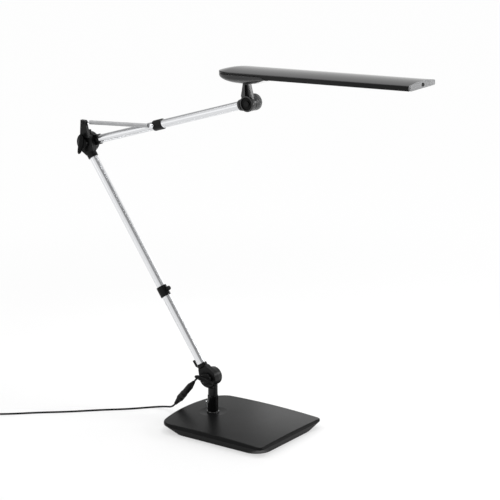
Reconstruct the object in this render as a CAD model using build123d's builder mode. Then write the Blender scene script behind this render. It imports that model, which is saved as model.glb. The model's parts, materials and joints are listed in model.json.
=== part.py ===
from build123d import *
import math
import os

# Desk lamp: weighted base, swivel post, two tube arms on clamp joints, flat light bar on a short stem.
# Millimetres, +Z up, +X from the post towards the bar's free end, wing knobs on the -Y side.
# The origin is on the table, under the post's swivel axis.

# Arms
lower_length = 436.6
lower_lean = 34.9
upper_length = 344.0
upper_rise = 17.35
lower_joint_z = 81.0
tube_radius = 7.0
tube_wall = 1.0

# Clearances
face_gap = 0.05
run_gap = 0.05
pass_gap = 0.35

# Clamp joints
hub_width = 10.0
hub_radius = 15.0
lower_hub_radius = 16.4
elbow_radius = 16.0
upper_hub_radius = 16.8
neck_blend = 3.0
washer_thickness = 0.8
washer_radius = 11.0
bolt_radius = 2.5
bolt_head_radius = 4.5
bolt_head_height = 3.4
neck_end = 20.0
cup_radius = 8.6
seat = 21.0
spigot_length = 26.0
lower_rim = 26.0
elbow_rim = 28.0
upper_rim = 24.0
hub_round = 1.4
wire_radius = 1.6
wire_start = 9.0
tongue_reach = 10.5
tongue_side = 8.1
tongue_thickness = 2.2
tongue_width = 3.0
tongue_at = 1.6
tongue_root = 6.0

# Wing knobs
knob_hub_radius = 9.3
knob_hub_height = 5.0
wing_length = 35.0
wing_width = 7.0
wing_height = 7.0
lower_knob_turn = -10.0
elbow_knob_turn = 80.0

# Base
base_length = 212.4
base_width = 172.0
base_rear = 55.6
base_rear_bow = 13.4
base_front_bow = 0.6
base_side_bow = 0.6
base_rear_corner = 26.0
base_front_corner = 7.5
base_crest = 21.0
base_crown_radius = 1800.0
base_rim_z = 12.0
base_edge_round = 2.0
foot_corner = 30.0
foot_bow = 1.0
foot_rear_inset = 22.0
foot_front_inset = 3.8
foot_side_inset = 5.0
pad_thickness = 2.0
pad_inset = 3.0
plate_thickness = 2.2
cavity_inset = 4.5
cavity_top = 12.8
weight_clearance = 0.5
boss_radius = 15.0
dish_radius = 25.3
dish_depth = 1.0

# Post
spindle_radius = 5.0
bush_radius = 8.0
bush_bottom = 9.6
flange_radius = 10.3
flange_height = 2.2
sleeve_radius = 8.8
sleeve_top = 48.7
stem_radius = 7.9
post_spigot_radius = 6.2
spindle_bottom = 5.6
spindle_top = 44.0
ring_thickness = 1.6
ring_radius = 8.4
flat_start = 61.5
pin_radius = 1.4
pin_height = 8.0
pin_x = -25.5
pin_y = 16.0

# Collars and balance spring
collar_radius = 8.7
collar_length = 18.0
lower_collar_at = 159.0
spring_collar_at = 152.0
thumb_radius = 3.2
thumb_length = 5.5
thumb_shank = 1.5
finger_height = 39.0
finger_thickness = 5.5
finger_top_left = -2.6
finger_top_right = 6.7
finger_root_left = -4.6
finger_root_right = 13.6
finger_root_gap = 1.2
finger_web_left = -4.6
finger_web_right = 8.0
finger_web_sink = 3.0
finger_web_rise = 6.0
hook_pin_radius = 1.5
hook_pin_x = 2.5
hook_pin_z = 34.2
spring_front_x = 138.0
spring_front_z = 44.4
spring_sleeve_radius = 3.4
spring_sleeve_wall = 0.7
spring_rear_gap = 7.6
spring_front_gap = 6.4
spring_wall = 0.9
hook_wire_radius = 0.8
stud_radius = 2.0

# Head
head_pitch = 2.5
head_rise = 52.4
head_half = 34.5
head_front = 313.0
head_tip = 45.0
head_end_run = 34.0
head_edge = 7.4
head_crown = 2.9
nose_start = -12.0
nose_radius = 145.0
head_wall = 1.8
head_ceiling = 1.4
lid_edge = 2.4
pod_front = 47.0
pod_depth = 20.4
pod_wall = 2.0
cap_thickness = 3.2
cap_lip = 4.0
button_radius = 2.5
button_stroke = 1.0
button_z = -2.4
head_hub_radius = 12.7
head_knob_radius = 12.8
head_knob_height = 7.0
head_hub_width = 7.0
stem_width = 11.4
stem_trim = 2.4
stem_pin_radius = 4.0
spreader_thickness = 1.5
board_thickness = 1.2
led_thickness = 0.7
diffuser_thickness = 1.6
diffuser_belly = 1.4
diffuser_start = 62.0
diffuser_end = 300.0
diffuser_half = 28.0
led_columns = 20
led_rows = 2
led_row_step = 16.0
led_end_margin = 10.0
board_width = 32.0
board_end_margin = 3.0

# Lead
cord_radius = 1.55
jack_radius = 5.4
plug_radius = 6.0
jack_length = 31.0
plug_length = 30.0
relief_length = 11.0
grommet_radius = 3.4
grommet_length = 4.6
grommet_droop = 19.0
tie_thickness = 0.8
tie_width = 8.0
coil_pitch = 3.75
coil_rise = 3.6
coil_turns = 4
coil_outer = 25.8
tail_length = 26.0
adapter_length = 58.0
adapter_width = 34.0
adapter_height = 27.0
prong_radius = 2.0
prong_length = 19.0
prong_spacing = 19.0

os.makedirs("parts", exist_ok=True)

# Places
lean = math.radians(lower_lean)
rise = math.radians(upper_rise)
pitch = math.radians(head_pitch)
near_y = -(hub_width + washer_thickness + 2 * face_gap)
near_face = near_y - hub_width / 2
elbow_x = -lower_length * math.sin(lean)
elbow_z = lower_joint_z + lower_length * math.cos(lean)
head_x = elbow_x + upper_length * math.cos(rise)
head_z = elbow_z + upper_length * math.sin(rise)
lower_dir = (-math.sin(lean), 0, math.cos(lean))
upper_dir = (math.cos(rise), 0, math.sin(rise))
head_dir = (math.cos(pitch), 0, math.sin(pitch))
stem_dir = (-math.sin(pitch), 0, math.cos(pitch))
toward = (0, -1, 0)
lower_plane = Plane(origin=(0, near_y, lower_joint_z), x_dir=lower_dir, z_dir=toward)
lower_axis = Plane(origin=(0, near_y, lower_joint_z), x_dir=(0, 1, 0), z_dir=lower_dir)
bracket_plane = Plane(origin=(elbow_x, near_y, elbow_z), x_dir=(-lower_dir[0], 0, -lower_dir[2]),
                      z_dir=toward)
upper_plane = Plane(origin=(elbow_x, 0, elbow_z), x_dir=upper_dir, z_dir=toward)
upper_axis = Plane(origin=(elbow_x, 0, elbow_z), x_dir=(0, 1, 0), z_dir=upper_dir)
end_plane = Plane(origin=(head_x, 0, head_z), x_dir=(-upper_dir[0], 0, -upper_dir[2]), z_dir=toward)
elbow_upright = Plane(origin=(elbow_x, 0, elbow_z), x_dir=(1, 0, 0), z_dir=toward)
stem_plane = Plane(origin=(head_x, near_y, head_z), x_dir=head_dir, z_dir=toward)
stem_axis = Plane(origin=(head_x, near_y, head_z), x_dir=head_dir, z_dir=stem_dir)
head_plane = stem_axis.offset(head_rise)
head_section = Plane(origin=head_plane.origin, x_dir=(0, 1, 0), z_dir=head_dir)



def neck(hub, run, half):
    reach = math.hypot(run, half)
    touch = math.atan2(half, run) + math.acos(hub / reach)
    x = hub * math.cos(touch)
    y = hub * math.sin(touch)
    return [(x, -y), (run, -half), (run, half), (x, y)]


# Table pad
foot_x0 = -base_rear + foot_rear_inset
foot_x1 = base_length - base_rear - foot_front_inset
foot_half = base_width / 2 - foot_side_inset
foot_mid = (foot_x0 + foot_x1) / 2
with BuildPart() as base_pad:
    with BuildSketch():
        with Locations((foot_mid, 0)):
            RectangleRounded(foot_x1 - foot_x0 - 2 * pad_inset, 2 * (foot_half - pad_inset),
                             foot_corner - pad_inset)
    extrude(amount=pad_thickness)

# Base cover: undercut sides, crowned top, dish round the post, hollow underneath
dish_floor = base_crest - (base_length / 2 - base_rear) ** 2 / (2 * base_crown_radius) - dish_depth
base_front = base_length - base_rear
side_x0 = -base_rear + base_rear_bow
side_x1 = base_front - base_front_bow
side_half = base_width / 2 - base_side_bow
mid_x = base_length / 2 - base_rear
dish_seat = flange_radius + pass_gap
dish_plane = Plane(origin=(0, 0, dish_floor), x_dir=(1, 0, mid_x / base_crown_radius),
                   z_dir=(-mid_x / base_crown_radius, 0, 1))
cavity_length = foot_x1 - foot_x0 - 2 * cavity_inset
cavity_width = 2 * (foot_half - cavity_inset)
cavity_corner = foot_corner - cavity_inset
screw_inset = 22.0
screw_x = cavity_length / 2 - screw_inset
screw_y = cavity_width / 2 - screw_inset
screw_places = [(foot_mid + sx * screw_x, sy * screw_y) for sx in (-1, 1) for sy in (-1, 1)]
screw_radius = 1.7
screw_head_radius = 3.2
screw_head = 1.6
screw_top = cavity_top + 2.4
with BuildPart() as base_cover:
    with BuildSketch(Plane.XY.offset(pad_thickness)):
        with BuildLine():
            ThreePointArc((foot_x0 + foot_bow, -foot_half + foot_bow), (foot_mid, -foot_half),
                          (foot_x1 - foot_bow, -foot_half + foot_bow))
            ThreePointArc((foot_x1 - foot_bow, -foot_half + foot_bow), (foot_x1, 0),
                          (foot_x1 - foot_bow, foot_half - foot_bow))
            ThreePointArc((foot_x1 - foot_bow, foot_half - foot_bow), (foot_mid, foot_half),
                          (foot_x0 + foot_bow, foot_half - foot_bow))
            ThreePointArc((foot_x0 + foot_bow, foot_half - foot_bow), (foot_x0, 0),
                          (foot_x0 + foot_bow, -foot_half + foot_bow))
        foot_face = make_face()
        fillet(foot_face.vertices(), foot_corner)
    with BuildSketch(Plane.XY.offset(base_rim_z)) as rim_sketch:
        with BuildLine():
            ThreePointArc((side_x0, -side_half), (mid_x, -base_width / 2), (side_x1, -side_half))
            ThreePointArc((side_x1, -side_half), (base_front, 0), (side_x1, side_half))
            ThreePointArc((side_x1, side_half), (mid_x, base_width / 2), (side_x0, side_half))
            ThreePointArc((side_x0, side_half), (-base_rear, 0), (side_x0, -side_half))
        rim_face = make_face()
        fillet(rim_face.vertices().group_by(Axis.X)[0], base_rear_corner)
        fillet(rim_sketch.vertices().group_by(Axis.X)[-1], base_front_corner)
    loft()
    extrude(rim_sketch.sketch, amount=base_crest - base_rim_z + 2)
    with Locations((mid_x, 0, base_crest - base_crown_radius)):
        Sphere(base_crown_radius, rotation=(90, 0, 0), mode=Mode.INTERSECT)
    fillet(base_cover.faces().filter_by(GeomType.SPHERE)[0].edges(), base_edge_round)
    with BuildSketch(Plane.XY.offset(dish_floor)):
        Circle(dish_seat)
    extrude(amount=base_crest, mode=Mode.SUBTRACT)
    with Locations(dish_plane):
        Cone(dish_seat, dish_radius, dish_depth, align=(Align.CENTER, Align.CENTER, Align.MIN),
             mode=Mode.SUBTRACT)
    with BuildSketch(Plane.XY.offset(pad_thickness)):
        with Locations((foot_mid, 0)):
            RectangleRounded(cavity_length, cavity_width, cavity_corner)
    extrude(amount=cavity_top - pad_thickness, mode=Mode.SUBTRACT)
    with BuildSketch(Plane.XY.offset(bush_bottom)):
        Circle(boss_radius)
    extrude(amount=cavity_top - bush_bottom)
    with BuildSketch(Plane.XY.offset(bush_bottom)):
        Circle(bush_radius)
    extrude(amount=base_crest, mode=Mode.SUBTRACT)
    with BuildSketch(Plane.XY.offset(cavity_top)):
        with Locations(*screw_places):
            Circle(screw_radius)
    extrude(amount=screw_top - cavity_top, mode=Mode.SUBTRACT)
    with BuildSketch(Plane.XY.offset(dish_floor - 3)):
        with Locations((pin_x, pin_y)):
            Circle(pin_radius)
    extrude(amount=base_crest, mode=Mode.SUBTRACT)

# Bottom plate, steel weight and their screws
weight_bottom = pad_thickness + plate_thickness
with BuildPart() as base_plate:
    with BuildSketch(Plane.XY.offset(pad_thickness)):
        with Locations((foot_mid, 0)):
            RectangleRounded(cavity_length, cavity_width, cavity_corner)
        with Locations(*screw_places):
            Circle(screw_radius, mode=Mode.SUBTRACT)
    extrude(amount=plate_thickness)
    with BuildSketch(Plane.XY.offset(pad_thickness)):
        with Locations(*screw_places):
            Circle(screw_head_radius)
    extrude(amount=screw_head, mode=Mode.SUBTRACT)

with BuildPart() as base_weight:
    with BuildSketch(Plane.XY.offset(weight_bottom)):
        with Locations((foot_mid, 0)):
            RectangleRounded(cavity_length - 2 * weight_clearance, cavity_width - 2 * weight_clearance,
                             cavity_corner - weight_clearance)
        Circle(boss_radius + weight_clearance, mode=Mode.SUBTRACT)
        with Locations(*screw_places):
            Circle(screw_radius + weight_clearance, mode=Mode.SUBTRACT)
    extrude(amount=cavity_top - weight_bottom)

with BuildPart() as base_screws:
    with BuildSketch(Plane.XY.offset(pad_thickness)):
        with Locations(*screw_places):
            Circle(screw_head_radius)
    extrude(amount=screw_head)
    with BuildSketch(Plane.XY.offset(pad_thickness)):
        with Locations(*screw_places):
            Circle(screw_radius)
    extrude(amount=screw_top - pad_thickness)

# Swivel bush with its flange, and the upright pin beside the dish
flange_top = dish_floor + flange_height
with BuildPart() as post_bush:
    with BuildSketch(Plane.XY.offset(bush_bottom)):
        Circle(bush_radius)
    extrude(amount=flange_top - bush_bottom)
    with BuildSketch(Plane.XY.offset(dish_floor)):
        Circle(flange_radius)
    extrude(amount=flange_height)
    fillet(post_bush.faces().sort_by(Axis.Z)[-1].edges(), 0.9)
    with BuildSketch(Plane.XY.offset(bush_bottom)):
        Circle(spindle_radius + run_gap)
    extrude(amount=base_crest * 2, mode=Mode.SUBTRACT)

with BuildPart() as index_pin:
    with BuildSketch(Plane.XY.offset(dish_floor - 3)):
        with Locations((pin_x, pin_y)):
            Circle(pin_radius)
    extrude(amount=pin_height + 4)
    fillet(index_pin.faces().sort_by(Axis.Z)[-1].edges(), 0.6)

# Post: spindle, retaining ring, sleeve, stem with the far hub
post_bottom = flange_top + face_gap
with BuildPart() as post_spindle:
    with BuildSketch(Plane.XY.offset(spindle_bottom)):
        Circle(spindle_radius)
    extrude(amount=spindle_top - spindle_bottom)

with BuildPart() as spindle_ring:
    with BuildSketch(Plane.XY.offset(bush_bottom - face_gap - ring_thickness)):
        Circle(ring_radius)
        Circle(spindle_radius, mode=Mode.SUBTRACT)
    extrude(amount=ring_thickness)

with BuildPart() as post_sleeve:
    with BuildSketch(Plane.XY.offset(post_bottom)):
        Circle(sleeve_radius)
    extrude(amount=sleeve_top - post_bottom)
    chamfer(post_sleeve.faces().sort_by(Axis.Z)[-1].edges(), 0.8)
    with BuildSketch(Plane.XY.offset(post_bottom)):
        Circle(post_spigot_radius)
    extrude(amount=sleeve_top, mode=Mode.SUBTRACT)

grommet_z = lower_joint_z - 2.0
grommet_x = -math.sqrt(hub_radius ** 2 - (lower_joint_z - grommet_z) ** 2)
grommet_root = 3.0
grommet_step = 1.5
droop = math.radians(grommet_droop)
grommet_dir = (-math.cos(droop), 0, -math.sin(droop))
grommet_start = (grommet_x - grommet_root * grommet_dir[0], 0, grommet_z - grommet_root * grommet_dir[2])
grommet_plane = Plane(origin=grommet_start, x_dir=(0, 1, 0), z_dir=grommet_dir)
with BuildPart() as swivel_post:
    with BuildSketch(Plane.XY.offset(post_bottom)):
        Circle(post_spigot_radius)
    extrude(amount=sleeve_top - post_bottom)
    with BuildSketch(Plane.XY.offset(sleeve_top)):
        Circle(stem_radius)
    extrude(amount=lower_joint_z - sleeve_top)
    with BuildSketch(Plane.XY.offset(flat_start)):
        with Locations((0, hub_width / 2 + stem_radius), (0, -hub_width / 2 - stem_radius)):
            Rectangle(4 * stem_radius, 2 * stem_radius)
    extrude(amount=lower_joint_z, mode=Mode.SUBTRACT)
    with BuildSketch(Plane(origin=(0, hub_width / 2, lower_joint_z), x_dir=(1, 0, 0), z_dir=toward)):
        Circle(hub_radius)
    extrude(amount=hub_width)
    fillet(swivel_post.faces().sort_by(Axis.Y)[-1].edges().filter_by(GeomType.CIRCLE), hub_round)
    with BuildSketch(Plane.XY.offset(post_bottom)):
        Circle(spindle_radius)
    extrude(amount=spindle_top - post_bottom, mode=Mode.SUBTRACT)
    with BuildSketch(Plane(origin=(0, hub_width / 2, lower_joint_z), x_dir=(1, 0, 0), z_dir=toward)):
        Circle(bolt_head_radius)
    extrude(amount=bolt_head_height, mode=Mode.SUBTRACT)
    with BuildSketch(Plane(origin=(0, hub_width / 2, lower_joint_z), x_dir=(1, 0, 0), z_dir=toward)):
        Circle(bolt_radius)
    extrude(amount=hub_width, mode=Mode.SUBTRACT)
    with BuildSketch(grommet_plane):
        Circle(grommet_radius - 0.6)
    extrude(amount=hub_radius, mode=Mode.SUBTRACT)

with BuildPart() as lead_grommet:
    with BuildSketch(grommet_plane):
        Circle(grommet_radius - 0.6)
    extrude(amount=grommet_root + grommet_step)
    with BuildSketch(grommet_plane.offset(grommet_root + grommet_step)):
        Circle(grommet_radius)
    extrude(amount=grommet_length - grommet_step, taper=6)

# Lower joint: washer, bolt, wing knob
with BuildPart() as lower_washer:
    with BuildSketch(Plane(origin=(0, -hub_width / 2 - face_gap, lower_joint_z), x_dir=(1, 0, 0),
                           z_dir=toward)):
        Circle(washer_radius)
        Circle(bolt_radius, mode=Mode.SUBTRACT)
    extrude(amount=washer_thickness)

knob_face = near_face - face_gap
bolt_end = knob_face - knob_hub_height - wing_height + 2.5
with BuildPart() as lower_bolt:
    with BuildSketch(Plane(origin=(0, hub_width / 2, lower_joint_z), x_dir=(1, 0, 0), z_dir=toward)):
        Circle(bolt_head_radius)
    extrude(amount=bolt_head_height)
    with BuildSketch(Plane(origin=(0, hub_width / 2, lower_joint_z), x_dir=(1, 0, 0), z_dir=toward)):
        Circle(bolt_radius)
    extrude(amount=hub_width / 2 - bolt_end)

lower_turn = math.radians(lower_knob_turn)
lower_knob_plane = Plane(origin=(0, knob_face, lower_joint_z),
                         x_dir=(math.cos(lower_turn), 0, math.sin(lower_turn)), z_dir=toward)
with BuildPart() as lower_wing_knob:
    with BuildSketch(lower_knob_plane.offset(knob_hub_height)):
        SlotOverall(wing_length, wing_width)
    extrude(amount=wing_height)
    fillet(lower_wing_knob.faces().sort_by(Axis.Y)[0].edges(), 2.4)
    with BuildSketch(lower_knob_plane):
        Circle(knob_hub_radius)
    extrude(amount=knob_hub_height, taper=4)
    with BuildSketch(lower_knob_plane):
        Circle(bolt_radius + run_gap)
    extrude(amount=knob_face - bolt_end + run_gap, mode=Mode.SUBTRACT)

# Lower arm: hub with tube cup, tube, wire, coupling collar with thumb screw
with BuildPart() as lower_hub:
    with BuildSketch(lower_plane.offset(-hub_width / 2)):
        Circle(lower_hub_radius)
        Polygon(*neck(lower_hub_radius, neck_end, cup_radius), align=None)
    extrude(amount=hub_width)
    fillet(lower_hub.faces().sort_by(Axis.Y)[0].edges(), hub_round)
    with BuildSketch(lower_axis.offset(neck_end)):
        Circle(cup_radius)
    extrude(amount=lower_rim - neck_end)
    chamfer(lower_hub.faces().sort_by(Axis(lower_plane.origin, lower_dir))[-1].edges(), 0.6)
    with BuildSketch(lower_plane.offset(tongue_at)):
        Polygon((lower_rim - tongue_root, tube_radius - tube_wall),
                (lower_rim, tongue_side + tongue_thickness),
                (lower_rim + tongue_reach, tongue_side + tongue_thickness),
                (lower_rim + tongue_reach, tongue_side),
                (lower_rim + tube_wall, tongue_side),
                (lower_rim - tube_wall, tube_radius - tube_wall), align=None)
    extrude(amount=tongue_width)
    with BuildSketch(lower_axis.offset(seat)):
        Circle(tube_radius)
        Circle(tube_radius - tube_wall, mode=Mode.SUBTRACT)
    extrude(amount=lower_rim, mode=Mode.SUBTRACT)
    with BuildSketch(lower_axis.offset(lower_rim)):
        Circle(tube_radius - tube_wall)
    extrude(amount=spigot_length - (lower_rim - seat))
    with BuildSketch(lower_axis.offset(wire_start)):
        Circle(wire_radius)
    extrude(amount=lower_length / 2, mode=Mode.SUBTRACT)
    with BuildSketch(lower_plane.offset(-hub_width / 2)):
        Circle(bolt_radius + run_gap)
    extrude(amount=hub_width, mode=Mode.SUBTRACT)

with BuildPart() as lower_tube:
    with BuildSketch(lower_axis.offset(seat)):
        Circle(tube_radius)
        Circle(tube_radius - tube_wall, mode=Mode.SUBTRACT)
    extrude(amount=lower_length - 2 * seat)

with BuildPart() as lower_wire:
    with BuildSketch(lower_axis.offset(wire_start)):
        Circle(wire_radius)
    extrude(amount=lower_length - 2 * wire_start)

thumb_plane = Plane(origin=lower_plane.from_local_coords((lower_collar_at, -tube_radius, 0)),
                    x_dir=lower_dir, z_dir=-lower_plane.y_dir)
with BuildPart() as lower_collar:
    with BuildSketch(lower_axis.offset(lower_collar_at - collar_length / 2)):
        Circle(collar_radius)
    extrude(amount=collar_length)
    chamfer(lower_collar.edges().filter_by(GeomType.CIRCLE), 0.6)
    with BuildSketch(lower_axis.offset(lower_collar_at - collar_length / 2)):
        Circle(tube_radius)
    extrude(amount=collar_length, mode=Mode.SUBTRACT)
    with BuildSketch(thumb_plane):
        Circle(thumb_shank + run_gap)
    extrude(amount=collar_radius, mode=Mode.SUBTRACT)

thumb_head = collar_radius - tube_radius + 0.3
with BuildPart() as thumb_screw:
    with BuildSketch(thumb_plane.offset(thumb_head)):
        Circle(thumb_radius)
        with PolarLocations(thumb_radius, 10):
            Circle(0.45)
    extrude(amount=thumb_length)
    with BuildSketch(thumb_plane.offset(face_gap)):
        Circle(thumb_shank)
    extrude(amount=thumb_head)

# Elbow: bracket with tube cup and finger, hook pin, washer, bolt, wing knob
finger_face = near_y - spring_sleeve_radius - 0.5
finger_plane = Plane(origin=(elbow_x, finger_face, elbow_z), x_dir=(1, 0, 0), z_dir=toward)
with BuildPart() as elbow_bracket:
    with BuildSketch(bracket_plane.offset(-hub_width / 2)):
        Circle(elbow_radius)
        Polygon(*neck(elbow_radius, neck_end, cup_radius), align=None)
    extrude(amount=hub_width)
    fillet(elbow_bracket.faces().sort_by(Axis.Y)[0].edges(), hub_round)
    with BuildSketch(lower_axis.offset(lower_length - elbow_rim)):
        Circle(cup_radius)
    extrude(amount=elbow_rim - neck_end)
    chamfer(elbow_bracket.faces().sort_by(Axis(lower_plane.origin, lower_dir))[0].edges(), 0.6)
    with BuildSketch(lower_axis.offset(lower_length - elbow_rim)):
        Circle(tube_radius)
        Circle(tube_radius - tube_wall, mode=Mode.SUBTRACT)
    extrude(amount=elbow_rim - seat, mode=Mode.SUBTRACT)
    with BuildSketch(lower_axis.offset(lower_length - seat - spigot_length)):
        Circle(tube_radius - tube_wall)
    extrude(amount=spigot_length - (elbow_rim - seat))
    with BuildSketch(finger_plane):
        Polygon((finger_root_left, knob_hub_radius + finger_root_gap),
                (finger_root_right, knob_hub_radius + finger_root_gap),
                (finger_top_right, finger_height), (finger_top_left, finger_height), align=None)
    extrude(amount=finger_thickness)
    with BuildSketch(elbow_upright.offset(-near_y - hub_width / 2 + face_gap)):
        with Locations(((finger_web_left + finger_web_right) / 2, elbow_radius - finger_web_sink)):
            Rectangle(finger_web_right - finger_web_left, finger_web_rise + finger_web_sink,
                      align=(Align.CENTER, Align.MIN))
    extrude(amount=near_y + hub_width / 2 - finger_face)
    with BuildSketch(lower_axis.offset(lower_length / 2)):
        Circle(wire_radius)
    extrude(amount=lower_length / 2 - wire_start, mode=Mode.SUBTRACT)
    with BuildSketch(bracket_plane.offset(-hub_width / 2)):
        Circle(bolt_radius)
    extrude(amount=hub_width, mode=Mode.SUBTRACT)
    with BuildSketch(finger_plane):
        with Locations((hook_pin_x, hook_pin_z)):
            Circle(hook_pin_radius)
    extrude(amount=finger_thickness, mode=Mode.SUBTRACT)

hook_plane = Plane(origin=(elbow_x + hook_pin_x, near_y + spring_sleeve_radius, elbow_z + hook_pin_z),
                   x_dir=(1, 0, 0), z_dir=toward)
with BuildPart() as hook_pin:
    with BuildSketch(hook_plane):
        Circle(hook_pin_radius)
    extrude(amount=spring_sleeve_radius + near_y - finger_face + finger_thickness + 0.8)

with BuildPart() as elbow_washer:
    with BuildSketch(elbow_upright.offset(hub_width / 2 + face_gap)):
        Circle(washer_radius)
        Circle(bolt_radius, mode=Mode.SUBTRACT)
    extrude(amount=washer_thickness)

with BuildPart() as elbow_bolt:
    with BuildSketch(elbow_upright.offset(-hub_width / 2)):
        Circle(bolt_head_radius)
    extrude(amount=bolt_head_height)
    with BuildSketch(elbow_upright.offset(-hub_width / 2)):
        Circle(bolt_radius)
    extrude(amount=hub_width / 2 - bolt_end)

elbow_turn = math.radians(elbow_knob_turn)
elbow_knob_plane = Plane(origin=(elbow_x, knob_face, elbow_z),
                         x_dir=(math.cos(elbow_turn), 0, math.sin(elbow_turn)), z_dir=toward)
with BuildPart() as elbow_wing_knob:
    with BuildSketch(elbow_knob_plane.offset(knob_hub_height)):
        SlotOverall(wing_length, wing_width)
    extrude(amount=wing_height)
    fillet(elbow_wing_knob.faces().sort_by(Axis.Y)[0].edges(), 2.4)
    with BuildSketch(elbow_knob_plane):
        Circle(knob_hub_radius)
    extrude(amount=knob_hub_height, taper=4)
    with BuildSketch(elbow_knob_plane):
        Circle(bolt_radius + run_gap)
    extrude(amount=knob_face - bolt_end + run_gap, mode=Mode.SUBTRACT)

# Upper arm: hub, tube, wire, end hub
with BuildPart() as upper_hub:
    with BuildSketch(upper_plane.offset(-hub_width / 2)) as upper_outline:
        Circle(upper_hub_radius)
        with Locations((neck_end / 2, 0)):
            Rectangle(neck_end, 2 * cup_radius)
        fillet(upper_outline.vertices().sort_by_distance(upper_plane.origin)[:2], neck_blend)
    extrude(amount=hub_width)
    fillet(upper_hub.faces().sort_by(Axis.Y)[-1].edges(), hub_round)
    with BuildSketch(upper_axis.offset(neck_end)):
        Circle(cup_radius)
    extrude(amount=upper_rim - neck_end)
    chamfer(upper_hub.faces().sort_by(Axis(upper_plane.origin, upper_dir))[-1].edges(), 0.6)
    with BuildSketch(upper_axis.offset(seat)):
        Circle(tube_radius)
        Circle(tube_radius - tube_wall, mode=Mode.SUBTRACT)
    extrude(amount=upper_rim, mode=Mode.SUBTRACT)
    with BuildSketch(upper_axis.offset(upper_rim)):
        Circle(tube_radius - tube_wall)
    extrude(amount=spigot_length - (upper_rim - seat))
    with BuildSketch(upper_axis.offset(wire_start)):
        Circle(wire_radius)
    extrude(amount=upper_length / 2, mode=Mode.SUBTRACT)
    with BuildSketch(upper_plane.offset(-hub_width / 2)):
        Circle(bolt_head_radius + pass_gap)
    extrude(amount=bolt_head_height + face_gap, mode=Mode.SUBTRACT)
    with BuildSketch(upper_plane.offset(-hub_width / 2)):
        Circle(bolt_radius + run_gap)
    extrude(amount=hub_width, mode=Mode.SUBTRACT)

with BuildPart() as upper_tube:
    with BuildSketch(upper_axis.offset(seat)):
        Circle(tube_radius)
        Circle(tube_radius - tube_wall, mode=Mode.SUBTRACT)
    extrude(amount=upper_length - 2 * seat)

with BuildPart() as upper_wire:
    with BuildSketch(upper_axis.offset(wire_start)):
        Circle(wire_radius)
    extrude(amount=upper_length - 2 * wire_start)

neck_start = head_knob_radius + 2.0
neck_half = 9.0
end_outer = hub_width / 2 - head_hub_width
with BuildPart() as upper_end:
    with BuildSketch(end_plane.offset(end_outer)):
        Circle(head_hub_radius)
        Polygon(*neck(head_hub_radius, neck_end, cup_radius), align=None)
    extrude(amount=head_hub_width)
    with BuildSketch(end_plane.offset(-hub_width / 2)):
        Polygon((neck_start, -neck_half), (neck_end, -cup_radius), (neck_end, cup_radius),
                (neck_start, neck_half), align=None)
    extrude(amount=hub_width)
    with BuildSketch(upper_axis.offset(upper_length - upper_rim)):
        Circle(cup_radius)
    extrude(amount=upper_rim - neck_end)
    chamfer(upper_end.faces().sort_by(Axis(upper_plane.origin, upper_dir))[0].edges(), 0.6)
    with BuildSketch(upper_axis.offset(upper_length - upper_rim)):
        Circle(tube_radius)
        Circle(tube_radius - tube_wall, mode=Mode.SUBTRACT)
    extrude(amount=upper_rim - seat, mode=Mode.SUBTRACT)
    with BuildSketch(upper_axis.offset(upper_length - seat - spigot_length)):
        Circle(tube_radius - tube_wall)
    extrude(amount=spigot_length - (upper_rim - seat))
    with BuildSketch(upper_axis.offset(upper_length / 2)):
        Circle(wire_radius)
    extrude(amount=upper_length / 2 - wire_start, mode=Mode.SUBTRACT)
    with BuildSketch(end_plane.offset(end_outer)):
        Circle(bolt_radius + run_gap)
    extrude(amount=hub_width, mode=Mode.SUBTRACT)

# Balance spring: collar with stud and screw, sleeve, spring, hooks
collar_screw_plane = Plane(origin=upper_plane.from_local_coords((spring_collar_at + 3.5, 0, tube_radius)),
                           x_dir=upper_dir, z_dir=toward)
collar_screw_radius = 1.7
stud_plane = Plane(origin=(elbow_x + spring_front_x, -tube_radius, elbow_z + spring_front_z),
                   x_dir=(1, 0, 0), z_dir=toward)
stud_head = -near_y - tube_radius + hook_wire_radius
with BuildPart() as spring_collar:
    with BuildSketch(upper_axis.offset(spring_collar_at - collar_length / 2)):
        Circle(collar_radius)
    extrude(amount=collar_length)
    chamfer(spring_collar.edges().filter_by(GeomType.CIRCLE), 0.6)
    with BuildSketch(upper_axis.offset(spring_collar_at - collar_length / 2)):
        Circle(tube_radius)
    extrude(amount=collar_length, mode=Mode.SUBTRACT)
    with BuildSketch(stud_plane):
        Circle(stud_radius)
    extrude(amount=stud_head)
    with BuildSketch(stud_plane.offset(stud_head)):
        Circle(stud_radius + 1.2)
    extrude(amount=1.2)
    with BuildSketch(collar_screw_plane):
        Circle(collar_screw_radius)
    extrude(amount=collar_radius, mode=Mode.SUBTRACT)

with BuildPart() as collar_screw:
    with BuildSketch(collar_screw_plane):
        Circle(collar_screw_radius)
    extrude(amount=collar_radius - tube_radius + 0.3)

span_x = spring_front_x - hook_pin_x
span_z = spring_front_z - hook_pin_z
span = math.hypot(span_x, span_z)
spring_dir = (span_x / span, 0, span_z / span)
spring_axis = Plane(origin=(elbow_x + hook_pin_x, near_y, elbow_z + hook_pin_z), x_dir=(0, 1, 0),
                    z_dir=spring_dir)
sleeve_length = span - spring_rear_gap - spring_front_gap
with BuildPart() as spring_sleeve:
    with BuildSketch(spring_axis.offset(spring_rear_gap)):
        Circle(spring_sleeve_radius)
        Circle(spring_sleeve_radius - spring_sleeve_wall, mode=Mode.SUBTRACT)
    extrude(amount=sleeve_length)

spring_radius = spring_sleeve_radius - spring_sleeve_wall
with BuildPart() as balance_spring:
    with BuildSketch(spring_axis.offset(spring_rear_gap + 2)):
        Circle(spring_radius)
        Circle(spring_radius - spring_wall, mode=Mode.SUBTRACT)
    extrude(amount=sleeve_length - 4)

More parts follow.
